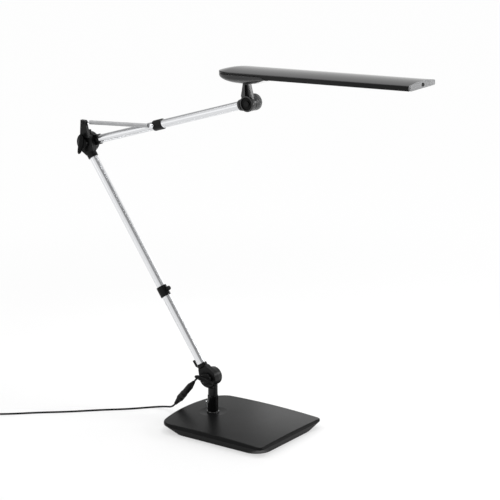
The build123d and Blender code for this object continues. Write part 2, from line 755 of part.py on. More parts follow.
shank_in = 6.0
hook_cap = spring_radius
with BuildPart() as front_hook:
    with Locations(Plane(origin=(elbow_x + spring_front_x, near_y, elbow_z + spring_front_z), z_dir=toward)):
        Torus(stud_radius + hook_wire_radius, hook_wire_radius)
    with BuildSketch(spring_axis.offset(span - spring_front_gap - shank_in)):
        Circle(hook_wire_radius)
    extrude(amount=shank_in + spring_front_gap - stud_radius - 1.5 * hook_wire_radius)
    with BuildSketch(spring_axis.offset(span - spring_front_gap - 2)):
        Circle(hook_cap)
    extrude(amount=2)

hook_ring = hook_pin_radius + pass_gap + hook_wire_radius
with BuildPart() as rear_hook:
    with Locations(Plane(origin=(elbow_x + hook_pin_x, near_y, elbow_z + hook_pin_z), z_dir=toward)):
        Torus(hook_ring, hook_wire_radius)
    with BuildSketch(spring_axis.offset(hook_ring)):
        Circle(hook_wire_radius)
    extrude(amount=spring_rear_gap + shank_in - hook_ring)
    with BuildSketch(spring_axis.offset(spring_rear_gap)):
        Circle(hook_cap)
    extrude(amount=2)

# Head joint: stem, washer, bolt, knurled knob
stem_top = head_rise - pod_depth - face_gap
stem_spigot = 12.0
with BuildPart() as head_stem:
    with BuildSketch(stem_plane.offset(-hub_width / 2)):
        Circle(head_hub_radius)
        Polygon(*[(-y, x) for x, y in neck(head_hub_radius, stem_top, stem_width / 2)], align=None)
    extrude(amount=hub_width)
    fillet(head_stem.faces().sort_by(Axis.Y)[0].edges(), 1.0)
    with BuildSketch(stem_plane.offset(-hub_width / 2)):
        with Locations((0, (head_hub_radius + stem_top) / 2)):
            Rectangle(3 * stem_width, stem_top - head_hub_radius - 2 * stem_trim)
    extrude(amount=stem_trim, mode=Mode.SUBTRACT)
    with BuildSketch(stem_axis.offset(stem_top)):
        Circle(stem_pin_radius)
    extrude(amount=stem_spigot)
    with BuildSketch(stem_plane.offset(-hub_width / 2)):
        Circle(bolt_radius)
    extrude(amount=hub_width, mode=Mode.SUBTRACT)
    with BuildSketch(stem_plane.offset(hub_width / 2 - bolt_head_height)):
        Circle(bolt_head_radius)
    extrude(amount=bolt_head_height, mode=Mode.SUBTRACT)

with BuildPart() as head_washer:
    with BuildSketch(Plane(origin=(head_x, -hub_width / 2 - face_gap, head_z), x_dir=(1, 0, 0),
                           z_dir=toward)):
        Circle(washer_radius)
        Circle(bolt_radius, mode=Mode.SUBTRACT)
    extrude(amount=washer_thickness)

head_knob_face = -end_outer + face_gap
head_knob_plane = Plane(origin=(head_x, head_knob_face, head_z), x_dir=(1, 0, 0), z_dir=(0, 1, 0))
with BuildPart() as head_bolt:
    with BuildSketch(stem_plane.offset(hub_width / 2 - bolt_head_height)):
        Circle(bolt_head_radius)
    extrude(amount=bolt_head_height)
    with BuildSketch(Plane(origin=(head_x, near_face, head_z), x_dir=(1, 0, 0), z_dir=(0, 1, 0))):
        Circle(bolt_radius)
    extrude(amount=head_knob_face + head_knob_height - 2 - near_face)

with BuildPart() as head_knob:
    with BuildSketch(head_knob_plane):
        Circle(head_knob_radius)
        with PolarLocations(head_knob_radius, 28):
            Circle(0.6)
    extrude(amount=head_knob_height)
    with BuildSketch(head_knob_plane.offset(head_knob_height)):
        Circle(head_knob_radius - 1.6)
    extrude(amount=0.8)
    with BuildSketch(head_knob_plane):
        Circle(bolt_radius + run_gap)
    extrude(amount=head_knob_height - 2 + run_gap, mode=Mode.SUBTRACT)

# Head shell: crowned lid with side walls, rounded rear end, cut back over the pod
end_mid = -head_tip + head_end_run
shell_front = head_front - cap_thickness
button_bore = button_radius + 0.08
nose_plane = Plane(origin=head_plane.origin, x_dir=head_dir, z_dir=toward)
nose_end = -head_tip - 1
nose_mid = (nose_start + nose_end) / 2


def nose_height(u):
    return head_crown - nose_radius + math.sqrt(nose_radius ** 2 - (nose_start - u) ** 2)


with BuildPart() as head_shell:
    with BuildSketch(head_plane.offset(-head_edge)):
        with BuildLine():
            Line((end_mid, head_half), (shell_front, head_half))
            Line((shell_front, head_half), (shell_front, -head_half))
            Line((shell_front, -head_half), (end_mid, -head_half))
            EllipticalCenterArc((end_mid, 0), head_end_run, head_half, start_angle=90, arc_size=180)
        make_face()
    extrude(amount=head_edge + head_crown + 1)
    with BuildSketch(head_section.offset(-head_tip)):
        with BuildLine():
            Line((-head_half, -head_edge), (head_half, -head_edge))
            Line((head_half, -head_edge), (head_half, 0))
            ThreePointArc((head_half, 0), (0, head_crown), (-head_half, 0))
            Line((-head_half, 0), (-head_half, -head_edge))
        make_face()
    extrude(amount=head_tip + head_front, mode=Mode.INTERSECT)
    with BuildSketch(nose_plane):
        with BuildLine():
            Line((nose_start, head_crown), (nose_start, 2 * head_crown))
            Line((nose_start, 2 * head_crown), (nose_end, 2 * head_crown))
            Line((nose_end, 2 * head_crown), (nose_end, nose_height(nose_end)))
            ThreePointArc((nose_end, nose_height(nose_end)), (nose_mid, nose_height(nose_mid)),
                          (nose_start, head_crown))
        make_face()
    extrude(amount=2 * head_half, both=True, mode=Mode.SUBTRACT)
    with BuildSketch(head_plane.offset(-head_edge)):
        with Locations(((pod_front + head_front) / 2, 0)):
            Rectangle(head_front - pod_front, 2 * (head_half - head_wall))
    extrude(amount=head_edge - head_ceiling, mode=Mode.SUBTRACT)
    with BuildSketch(head_plane.offset(-head_edge)):
        with Locations(((pod_front - head_tip) / 2 - 5, 0)):
            Rectangle(head_tip + pod_front + 10, 3 * head_half)
    extrude(amount=head_edge - lid_edge, mode=Mode.SUBTRACT)
    with BuildSketch(head_section.offset(shell_front - cap_lip - 1)):
        with Locations((0, button_z)):
            Circle(button_bore + 0.3)
    extrude(amount=cap_lip + 2, mode=Mode.SUBTRACT)

# Pod under the rear end, hollow, with the stem's socket
pod_stations = [-head_tip + 0.6, -head_tip + 7, -head_tip + 18, end_mid, 5.0, 26.0, pod_front]
pod_bottoms = [5.8, 12.4, 17.4, 19.6, pod_depth, 18.6, head_edge + 0.8]
pod_halves = []
for u in pod_stations:
    reach = max(0.0, (end_mid - u) / head_end_run)
    pod_halves.append(head_half * math.sqrt(1 - reach * reach))
with BuildPart() as head_pod:
    for u, w, half in zip(pod_stations, pod_bottoms, pod_halves):
        with BuildSketch(head_section.offset(u)):
            with BuildLine():
                Line((-half, -lid_edge), (half, -lid_edge))
                EllipticalCenterArc((0, -lid_edge), half, w - lid_edge, start_angle=180, arc_size=180)
            make_face()
    loft()
    for u, w, half in list(zip(pod_stations, pod_bottoms, pod_halves))[1:]:
        with BuildSketch(head_section.offset(u if u < pod_front else pod_front - pod_wall)):
            with BuildLine():
                Line((-half + pod_wall, -lid_edge), (half - pod_wall, -lid_edge))
                EllipticalCenterArc((0, -lid_edge), half - pod_wall, w - lid_edge - pod_wall,
                                    start_angle=180, arc_size=180)
            make_face()
    loft(mode=Mode.SUBTRACT)
    with BuildSketch(head_plane.offset(-pod_depth)):
        Circle(stem_pin_radius + 4)
    extrude(amount=stem_spigot - 3)
    with BuildSketch(head_plane.offset(-pod_depth - 1)):
        Rectangle(2 * stem_pin_radius + 12, 2 * stem_pin_radius + 12)
    extrude(amount=1, mode=Mode.SUBTRACT)
    with BuildSketch(head_plane.offset(-pod_depth - 1)):
        Circle(stem_pin_radius + run_gap)
    extrude(amount=pod_depth, mode=Mode.SUBTRACT)

with BuildPart() as stem_retainer:
    with BuildSketch(head_plane.offset(-pod_depth + stem_spigot - 3 + face_gap)):
        Circle(stem_pin_radius + 2.5)
        Circle(stem_pin_radius, mode=Mode.SUBTRACT)
    extrude(amount=1.6)

# Light engine: heat spreader, board, LEDs, frame, diffuser, driver
frame_top = diffuser_thickness + 0.4
with BuildPart() as heat_spreader:
    with BuildSketch(head_plane.offset(-head_ceiling - spreader_thickness)):
        with Locations(((diffuser_start + diffuser_end) / 2, 0)):
            Rectangle(diffuser_end - diffuser_start, 2 * diffuser_half - 6)
    extrude(amount=spreader_thickness)

board_top = head_ceiling + spreader_thickness
with BuildPart() as led_board:
    with BuildSketch(head_plane.offset(-board_top - board_thickness)):
        with Locations(((diffuser_start + diffuser_end) / 2, 0)):
            Rectangle(diffuser_end - diffuser_start - 2 * board_end_margin, board_width)
    extrude(amount=board_thickness)

led_step = (diffuser_end - diffuser_start - 2 * led_end_margin) / led_columns
with BuildPart() as leds:
    with BuildSketch(head_plane.offset(-board_top - board_thickness - led_thickness)):
        with Locations(((diffuser_start + diffuser_end) / 2, 0)):
            with GridLocations(led_step, led_row_step, led_columns, led_rows):
                Rectangle(3.5, 2.8)
    extrude(amount=led_thickness)

with BuildPart() as head_frame:
    with BuildSketch(head_plane.offset(-head_edge)):
        with Locations(((pod_front + shell_front - cap_lip) / 2, 0)):
            Rectangle(shell_front - cap_lip - pod_front, 2 * (head_half - head_wall))
        with Locations(((diffuser_start + diffuser_end) / 2, 0)):
            Rectangle(diffuser_end - diffuser_start, 2 * diffuser_half, mode=Mode.SUBTRACT)
    extrude(amount=frame_top)

diffuser_top = diffuser_thickness - head_edge
with BuildPart() as diffuser:
    with BuildSketch(head_section.offset(diffuser_start)):
        with BuildLine():
            Line((-diffuser_half, diffuser_top), (diffuser_half, diffuser_top))
            Line((diffuser_half, diffuser_top), (diffuser_half, -head_edge))
            ThreePointArc((diffuser_half, -head_edge), (0, -head_edge - diffuser_belly),
                          (-diffuser_half, -head_edge))
            Line((-diffuser_half, -head_edge), (-diffuser_half, diffuser_top))
        make_face()
    extrude(amount=diffuser_end - diffuser_start)

driver_top = lid_edge
with BuildPart() as driver_board:
    with BuildSketch(head_plane.offset(-driver_top - 1.6)):
        with Locations((18, 0)):
            Rectangle(44, 40)
    extrude(amount=1.6)
    with BuildSketch(head_plane.offset(-driver_top - 1.6)):
        with Locations((28, -8)):
            Rectangle(12, 14)
        with Locations((28, 9)):
            Circle(4)
    extrude(amount=-4.5)

# End cap with its push button
cap_section_half = head_half - head_wall
with BuildPart() as end_cap:
    with BuildSketch(head_section.offset(shell_front)):
        with BuildLine():
            Line((-head_half, -head_edge), (head_half, -head_edge))
            Line((head_half, -head_edge), (head_half, 0))
            ThreePointArc((head_half, 0), (0, head_crown), (-head_half, 0))
            Line((-head_half, 0), (-head_half, -head_edge))
        make_face()
    extrude(amount=cap_thickness)
    fillet(end_cap.edges().filter_by(Axis(head_plane.origin, head_dir)), 2.4)
    with BuildSketch(head_section.offset(shell_front - cap_lip)):
        with Locations((0, -(head_edge + head_ceiling) / 2)):
            Rectangle(2 * cap_section_half, head_edge - head_ceiling)
    extrude(amount=cap_lip)
    with BuildSketch(head_section.offset(shell_front - cap_lip)):
        with Locations((0, button_z)):
            Circle(button_bore)
    extrude(amount=cap_lip + cap_thickness, mode=Mode.SUBTRACT)

with BuildPart() as push_button:
    with BuildSketch(head_section.offset(shell_front - cap_lip + 0.6 + button_stroke)):
        with Locations((0, button_z)):
            Circle(button_radius)
    extrude(amount=cap_lip + cap_thickness - 0.6 - button_stroke + 1.4)
    fillet(push_button.faces().sort_by(Axis(head_plane.origin, head_dir))[-1].edges(), 0.5)

# Pigtail, in-line connector
lead_exit = tuple(grommet_plane.offset(grommet_root + grommet_length + 0.1).origin)
jack_at = (-38.6, 0.0, 63.0)
connector_end = (-78.6, 0.0, 15.8)
connector_span = math.dist(jack_at, connector_end)
connector_dir = tuple((b - a) / connector_span for a, b in zip(jack_at, connector_end))
jack_plane = Plane(origin=jack_at, x_dir=(0, 1, 0), z_dir=connector_dir)
plug_plane = jack_plane.offset(jack_length)
plug_end = plug_plane.offset(plug_length)


def bend_radii(points):
    radii = []
    for a, b, c in zip(points, points[1:], points[2:]):
        before = [q - p for p, q in zip(a, b)]
        after = [q - p for p, q in zip(b, c)]
        run_in = math.hypot(*before)
        run_out = math.hypot(*after)
        cosine = sum(p * q for p, q in zip(before, after)) / (run_in * run_out)
        turn = math.acos(max(-1.0, min(1.0, cosine)))
        radii.append(0.45 * min(run_in, run_out) / math.tan(turn / 2))
    return radii


pigtail_run = math.dist(lead_exit, jack_at) / 3
pigtail_points = [
    lead_exit,
    tuple(e + pigtail_run * g for e, g in zip(lead_exit, grommet_dir)),
    tuple(j - pigtail_run * d for j, d in zip(jack_at, connector_dir)),
    jack_at,
]
pigtail_radii = bend_radii(pigtail_points)
with BuildPart() as pigtail:
    with BuildLine() as pigtail_line:
        FilletPolyline(*pigtail_points, radius=pigtail_radii)
    with BuildSketch(Plane(origin=pigtail_line.line @ 0, z_dir=pigtail_line.line % 0)):
        Circle(cord_radius)
    sweep()

with BuildPart() as dc_jack:
    with BuildSketch(jack_plane):
        Circle(cord_radius + 1.0)
    with BuildSketch(jack_plane.offset(relief_length)):
        Circle(jack_radius - 0.6)
    loft()
    with BuildSketch(jack_plane.offset(relief_length)):
        Circle(jack_radius)
    extrude(amount=jack_length - relief_length)

with BuildPart() as dc_plug:
    with BuildSketch(plug_plane):
        Circle(plug_radius)
    extrude(amount=plug_length - relief_length - 3)
    with BuildSketch(plug_plane.offset(plug_length - relief_length - 3)):
        Circle(plug_radius - 0.7)
    with BuildSketch(plug_end):
        Circle(cord_radius + 0.8)
    loft()

# Lead on the table
lie_z = cord_radius
coil_low = cord_radius + tie_thickness + 0.1
heading = math.atan2(-0.672, -0.74)
ahead = (math.cos(heading), math.sin(heading))
outward = (-ahead[1], ahead[0])
coil_start = (-334.0, -199.0)
plug_tip = tuple(plug_end.origin)
lead_points = [
    plug_tip,
    tuple(p + 9.0 * d for p, d in zip(plug_tip, connector_dir)),
    (-103.0, 6.5, 4.6),
    (-121.0, 2.2, lie_z),
    (-137.0, -16.4, lie_z),
    (-155.0, -36.0, lie_z),
    (-187.0, -64.0, lie_z),
    (-224.0, -101.5, lie_z),
    (-262.0, -133.0, lie_z),
    (-296.0, -167.0, lie_z + 0.2),
    (coil_start[0] - 16 * ahead[0], coil_start[1] - 16 * ahead[1], coil_low),
    (coil_start[0], coil_start[1], coil_low),
]
lead_radii = bend_radii(lead_points)
with BuildPart() as floor_lead:
    with BuildLine() as lead_line:
        FilletPolyline(*lead_points, radius=lead_radii)
    with BuildSketch(Plane(origin=lead_line.line @ 0, z_dir=lead_line.line % 0)):
        Circle(cord_radius)
    sweep()

# Coil of the put-away length: spirals in, climbs in one half turn, spirals out above
coil_high = coil_low + coil_rise
entry_run = 2 * cord_radius
coil_centre = (
    coil_start[0] + entry_run * ahead[0] + coil_outer * outward[0] * -1,
    coil_start[1] + entry_run * ahead[1] + coil_outer * outward[1] * -1,
)


def on_coil(a, b, z):
    x = coil_centre[0] + a * outward[0] + b * ahead[0]
    y = coil_centre[1] + a * outward[1] + b * ahead[1]
    return (x, y, z)


coil_arcs = []
side = 1
place = coil_outer
radius = coil_outer
for half_turn in range(2 * coil_turns):
    centre = place - side * radius
    coil_arcs.append((on_coil(place, 0, coil_low), on_coil(centre, side * radius, coil_low),
                      on_coil(centre - side * radius, 0, coil_low)))
    place = centre - side * radius
    side = -side
    radius -= coil_pitch / 2
inner = radius
climb_mid = on_coil(place - inner, math.sqrt(inner ** 2 + coil_rise ** 2 / 4), (coil_low + coil_high) / 2)
climb_from = on_coil(place, 0, coil_low)
climb_to = on_coil(place - 2 * inner, 0, coil_high)
place -= 2 * inner
side = -1
rising_arcs = []
for half_turn in range(2 * coil_turns - 1):
    radius += coil_pitch / 2
    centre = place - side * radius
    rising_arcs.append((on_coil(place, 0, coil_high), on_coil(centre, side * radius, coil_high),
                        on_coil(centre - side * radius, 0, coil_high)))
    place = centre - side * radius
    side = -side
radius += coil_pitch / 2
corner = math.sqrt(0.5) * radius
tail_centre = place - radius
quarter = (on_coil(place, 0, coil_high), on_coil(tail_centre + corner, corner, coil_high),
           on_coil(tail_centre, radius, coil_high))
tail_end = on_coil(tail_centre - tail_length, radius, coil_high)
with BuildPart() as lead_coil:
    with BuildLine() as coil_line:
        Line((coil_start[0], coil_start[1], coil_low), on_coil(coil_outer, 0, coil_low))
        for arc in coil_arcs:
            ThreePointArc(*arc)
        TangentArc(climb_from, climb_mid, tangent=(ahead[0], ahead[1], 0))
        TangentArc(climb_to, climb_mid, tangent=(ahead[0], ahead[1], 0))
        for arc in rising_arcs:
            ThreePointArc(*arc)
        ThreePointArc(*quarter)
        Line(quarter[2], tail_end)
    with BuildSketch(Plane(origin=coil_line.line @ 0, z_dir=coil_line.line % 0)):
        Circle(cord_radius)
    sweep()

# Tie round the coil, plug-in adapter at the lead's end
tie_plane = Plane(origin=on_coil(0, -tie_width / 2, 0), x_dir=(outward[0], outward[1], 0),
                  z_dir=(ahead[0], ahead[1], 0))
tie_low = coil_low - cord_radius - 0.1
tie_high = coil_high + cord_radius + 0.1
tie_out = -(coil_outer + cord_radius + 0.3)
tie_in = -(inner - cord_radius - 1.3)
z_sign = tie_plane.y_dir.Z
with BuildPart() as coil_tie:
    with BuildSketch(tie_plane):
        with Locations(((tie_out + tie_in) / 2, z_sign * (tie_low + tie_high) / 2)):
            Rectangle(tie_in - tie_out + 2 * tie_thickness, tie_high - tie_low + 2 * tie_thickness)
            Rectangle(tie_in - tie_out, tie_high - tie_low, mode=Mode.SUBTRACT)
    extrude(amount=tie_width)

back = (-outward[0], -outward[1])
adapter_plane = Plane(origin=(tail_end[0], tail_end[1], 0), x_dir=(back[0], back[1], 0), z_dir=(0, 0, 1))
relief_run = 8.0
with BuildPart() as adapter_body:
    with BuildSketch(adapter_plane):
        with Locations((relief_run + adapter_length / 2, 0)):
            RectangleRounded(adapter_length, adapter_width, 5)
    extrude(amount=adapter_height)
    fillet(adapter_body.faces().sort_by(Axis.Z)[-1].edges(), 3)
    with BuildSketch(Plane(origin=tail_end, x_dir=(0, 0, 1), z_dir=(back[0], back[1], 0))):
        Circle(cord_radius + 1.4)
    extrude(amount=relief_run + 1)

prong_run = relief_run + adapter_length
prong_root = (tail_end[0] + prong_run * back[0], tail_end[1] + prong_run * back[1], adapter_height / 2)
with BuildPart() as adapter_prongs:
    with BuildSketch(Plane(origin=prong_root, x_dir=(0, 0, 1), z_dir=(back[0], back[1], 0))):
        with Locations((0, prong_spacing / 2), (0, -prong_spacing / 2)):
            Circle(prong_radius)
    extrude(amount=prong_length)

# Lead figures
coil_points = [coil_line.wires()[0] @ (i / 900) for i in range(901)]
coil_step = coil_line.wires()[0].length / 900
apart = int(4 * cord_radius * math.pi / coil_step)
least = min(
    (coil_points[i] - coil_points[j]).length for i in range(0, 901) for j in range(i + apart, 901)
) - 2 * cord_radius
print("pigtail radii", [round(r, 1) for r in pigtail_radii])
print("lead radii", [round(r, 1) for r in lead_radii])
print("pigtail length", round(pigtail_line.wires()[0].length, 1))
print("lead length", round(lead_line.wires()[0].length, 1))
print("coil length", round(coil_line.wires()[0].length, 1), "least gap", round(least, 2))

base_pad.part.label = "base_pad"
export_step(base_pad.part, "parts/base_pad.step")
base_cover.part.label = "base_cover"
export_step(base_cover.part, "parts/base_cover.step")
base_plate.part.label = "base_plate"
export_step(base_plate.part, "parts/base_plate.step")
base_weight.part.label = "base_weight"
export_step(base_weight.part, "parts/base_weight.step")
base_screws.part.label = "base_screws"
export_step(base_screws.part, "parts/base_screws.step")
post_bush.part.label = "post_bush"
export_step(post_bush.part, "parts/post_bush.step")
index_pin.part.label = "index_pin"
export_step(index_pin.part, "parts/index_pin.step")
post_spindle.part.label = "post_spindle"
export_step(post_spindle.part, "parts/post_spindle.step")
spindle_ring.part.label = "spindle_ring"
export_step(spindle_ring.part, "parts/spindle_ring.step")
post_sleeve.part.label = "post_sleeve"
export_step(post_sleeve.part, "parts/post_sleeve.step")
swivel_post.part.label = "swivel_post"
export_step(swivel_post.part, "parts/swivel_post.step")
lead_grommet.part.label = "lead_grommet"
export_step(lead_grommet.part, "parts/lead_grommet.step")
lower_washer.part.label = "lower_washer"
export_step(lower_washer.part, "parts/lower_washer.step")
lower_bolt.part.label = "lower_bolt"
export_step(lower_bolt.part, "parts/lower_bolt.step")
lower_wing_knob.part.label = "lower_wing_knob"
export_step(lower_wing_knob.part, "parts/lower_wing_knob.step")
lower_hub.part.label = "lower_hub"
export_step(lower_hub.part, "parts/lower_hub.step")
lower_tube.part.label = "lower_tube"
export_step(lower_tube.part, "parts/lower_tube.step")
lower_wire.part.label = "lower_wire"
export_step(lower_wire.part, "parts/lower_wire.step")
lower_collar.part.label = "lower_collar"
export_step(lower_collar.part, "parts/lower_collar.step")
thumb_screw.part.label = "thumb_screw"
export_step(thumb_screw.part, "parts/thumb_screw.step")
elbow_bracket.part.label = "elbow_bracket"
export_step(elbow_bracket.part, "parts/elbow_bracket.step")
hook_pin.part.label = "hook_pin"
export_step(hook_pin.part, "parts/hook_pin.step")
elbow_washer.part.label = "elbow_washer"
export_step(elbow_washer.part, "parts/elbow_washer.step")
elbow_bolt.part.label = "elbow_bolt"
export_step(elbow_bolt.part, "parts/elbow_bolt.step")
elbow_wing_knob.part.label = "elbow_wing_knob"
export_step(elbow_wing_knob.part, "parts/elbow_wing_knob.step")
upper_hub.part.label = "upper_hub"
export_step(upper_hub.part, "parts/upper_hub.step")
upper_tube.part.label = "upper_tube"
export_step(upper_tube.part, "parts/upper_tube.step")
upper_wire.part.label = "upper_wire"
export_step(upper_wire.part, "parts/upper_wire.step")
upper_end.part.label = "upper_end"
export_step(upper_end.part, "parts/upper_end.step")
spring_collar.part.label = "spring_collar"
export_step(spring_collar.part, "parts/spring_collar.step")
collar_screw.part.label = "collar_screw"
export_step(collar_screw.part, "parts/collar_screw.step")
spring_sleeve.part.label = "spring_sleeve"
export_step(spring_sleeve.part, "parts/spring_sleeve.step")
balance_spring.part.label = "balance_spring"
export_step(balance_spring.part, "parts/balance_spring.step")
front_hook.part.label = "front_hook"
export_step(front_hook.part, "parts/front_hook.step")
rear_hook.part.label = "rear_hook"
export_step(rear_hook.part, "parts/rear_hook.step")
head_stem.part.label = "head_stem"
export_step(head_stem.part, "parts/head_stem.step")
head_washer.part.label = "head_washer"
export_step(head_washer.part, "parts/head_washer.step")
head_bolt.part.label = "head_bolt"
export_step(head_bolt.part, "parts/head_bolt.step")
head_knob.part.label = "head_knob"
export_step(head_knob.part, "parts/head_knob.step")
head_shell.part.label = "head_shell"
export_step(head_shell.part, "parts/head_shell.step")
head_pod.part.label = "head_pod"
export_step(head_pod.part, "parts/head_pod.step")
stem_retainer.part.label = "stem_retainer"
export_step(stem_retainer.part, "parts/stem_retainer.step")
heat_spreader.part.label = "heat_spreader"
export_step(heat_spreader.part, "parts/heat_spreader.step")
led_board.part.label = "led_board"
export_step(led_board.part, "parts/led_board.step")
leds.part.label = "leds"
export_step(leds.part, "parts/leds.step")
head_frame.part.label = "head_frame"
export_step(head_frame.part, "parts/head_frame.step")
diffuser.part.label = "diffuser"
export_step(diffuser.part, "parts/diffuser.step")
driver_board.part.label = "driver_board"
export_step(driver_board.part, "parts/driver_board.step")
end_cap.part.label = "end_cap"
export_step(end_cap.part, "parts/end_cap.step")
push_button.part.label = "push_button"
export_step(push_button.part, "parts/push_button.step")
pigtail.part.label = "pigtail"
export_step(pigtail.part, "parts/pigtail.step")
dc_jack.part.label = "dc_jack"
export_step(dc_jack.part, "parts/dc_jack.step")
dc_plug.part.label = "dc_plug"
export_step(dc_plug.part, "parts/dc_plug.step")
floor_lead.part.label = "floor_lead"
export_step(floor_lead.part, "parts/floor_lead.step")
lead_coil.part.label = "lead_coil"
export_step(lead_coil.part, "parts/lead_coil.step")
coil_tie.part.label = "coil_tie"
export_step(coil_tie.part, "parts/coil_tie.step")
adapter_body.part.label = "adapter_body"
export_step(adapter_body.part, "parts/adapter_body.step")
adapter_prongs.part.label = "adapter_prongs"
export_step(adapter_prongs.part, "parts/adapter_prongs.step")
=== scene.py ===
import json
import math

import bmesh
import bpy
from mathutils import Matrix, Vector


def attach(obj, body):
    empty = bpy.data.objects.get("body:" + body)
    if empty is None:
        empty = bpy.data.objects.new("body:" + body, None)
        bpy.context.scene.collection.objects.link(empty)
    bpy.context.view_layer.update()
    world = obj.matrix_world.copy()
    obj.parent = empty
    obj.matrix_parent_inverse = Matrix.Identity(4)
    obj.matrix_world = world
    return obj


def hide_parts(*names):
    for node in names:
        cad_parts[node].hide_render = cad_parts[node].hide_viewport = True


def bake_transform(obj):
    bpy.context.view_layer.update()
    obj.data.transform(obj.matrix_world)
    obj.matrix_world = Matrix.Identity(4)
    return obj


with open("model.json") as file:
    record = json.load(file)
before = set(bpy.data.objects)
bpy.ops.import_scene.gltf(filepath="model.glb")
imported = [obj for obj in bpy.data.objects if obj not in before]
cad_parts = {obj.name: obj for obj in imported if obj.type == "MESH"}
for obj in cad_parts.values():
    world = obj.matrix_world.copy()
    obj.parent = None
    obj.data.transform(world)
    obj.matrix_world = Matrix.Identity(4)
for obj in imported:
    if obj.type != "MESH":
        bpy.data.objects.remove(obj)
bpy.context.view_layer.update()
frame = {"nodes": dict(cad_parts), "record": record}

nodes = frame["nodes"]
scene = bpy.context.scene
scene.view_settings.view_transform = "Standard"

# Measures of the lamp that the pieces share, in metres
MM = 0.001
LEAN = math.radians(34.9)
RISE = math.radians(17.35)
PITCH = math.radians(2.5)
NEAR_Y = -10.9 * MM
KNOB_FACE = -15.95 * MM
TOWARD = Vector((0, -1, 0))
UP = Vector((0, 0, 1))
LOWER_DIR = Vector((-math.sin(LEAN), 0, math.cos(LEAN)))
UPPER_DIR = Vector((math.cos(RISE), 0, math.sin(RISE)))
HEAD_DIR = Vector((math.cos(PITCH), 0, math.sin(PITCH)))
STEM_DIR = Vector((-math.sin(PITCH), 0, math.cos(PITCH)))
LOWER_RUN = 436.6 * MM
UPPER_RUN = 344.0 * MM
TUBE_SEAT = 21.0 * MM
JOINT_HEIGHT = 81.0 * MM
HEAD_RISE = 52.4 * MM
LOWER_JOINT = Vector((0, NEAR_Y, JOINT_HEIGHT))
ELBOW = LOWER_JOINT + LOWER_RUN * LOWER_DIR
ELBOW_FAR = Vector((ELBOW.x, 0, ELBOW.z))
HEAD_JOINT = ELBOW + UPPER_RUN * UPPER_DIR
BAR_CENTRE = HEAD_JOINT + HEAD_RISE * STEM_DIR
CORD_RADIUS = 1.55 * MM


# Finishes
def new_finish(name):
    material = bpy.data.materials.new(name)
    material.use_nodes = True
    tree = material.node_tree
    return material, tree.nodes, tree.links, tree.nodes["Principled BSDF"]


def coordinates(made, links, stretch, turn):
    where = made.new("ShaderNodeTexCoord")
    if stretch is None:
        return where.outputs["Object"]
    mapping = made.new("ShaderNodeMapping")
    mapping.vector_type = "TEXTURE"
    mapping.inputs["Rotation"].default_value = (0, turn, 0)
    mapping.inputs["Scale"].default_value = stretch
    links.new(where.outputs["Object"], mapping.inputs["Vector"])
    return mapping.outputs["Vector"]


def speckle(made, links, place, scale, detail):
    noise = made.new("ShaderNodeTexNoise")
    noise.inputs["Scale"].default_value = scale
    noise.inputs["Detail"].default_value = detail
    links.new(place, noise.inputs["Vector"])
    return noise.outputs["Fac"]


def ranged(made, links, value, source, target, easing="LINEAR"):
    span = made.new("ShaderNodeMapRange")
    span.interpolation_type = easing
    span.inputs["From Min"].default_value, span.inputs["From Max"].default_value = source
    span.inputs["To Min"].default_value, span.inputs["To Max"].default_value = target
    links.new(value, span.inputs["Value"])
    return span.outputs["Result"]


CLOUD_STOPS = (0.32, 0.7)
GRAIN_SPAN = (0.3, 0.7)


def finish(name, dark, light, rough, patch=60.0, grain=900.0, depth=0.00004, metallic=0.0,
           specular=0.5, stretch=None, turn=0.0, bump=0.5):
    material, made, links, shader = new_finish(name)
    place = coordinates(made, links, stretch, turn)
    tone = made.new("ShaderNodeValToRGB")
    for stop, position, colour in zip(tone.color_ramp.elements, CLOUD_STOPS, (dark, light)):
        stop.position = position
        stop.color = (*colour, 1)
    links.new(speckle(made, links, place, patch, 5.0), tone.inputs["Fac"])
    links.new(tone.outputs["Color"], shader.inputs["Base Color"])
    fine = speckle(made, links, place, grain, 3.0)
    links.new(ranged(made, links, fine, GRAIN_SPAN, rough), shader.inputs["Roughness"])
    relief = made.new("ShaderNodeBump")
    relief.inputs["Strength"].default_value = bump
    relief.inputs["Distance"].default_value = depth
    links.new(fine, relief.inputs["Height"])
    links.new(relief.outputs["Normal"], shader.inputs["Normal"])
    shader.inputs["Metallic"].default_value = metallic
    shader.inputs["Specular IOR Level"].default_value = specular
    return material


def grey(level):
    return (level, level * 1.01, level * 1.03)


def anodised(name, dark, light, turn):
    return finish(name, grey(dark), grey(light), (0.22, 0.24), patch=120, grain=1600, depth=0.000002,
                  metallic=1.0, stretch=(40, 1, 1), turn=turn, bump=0.1)


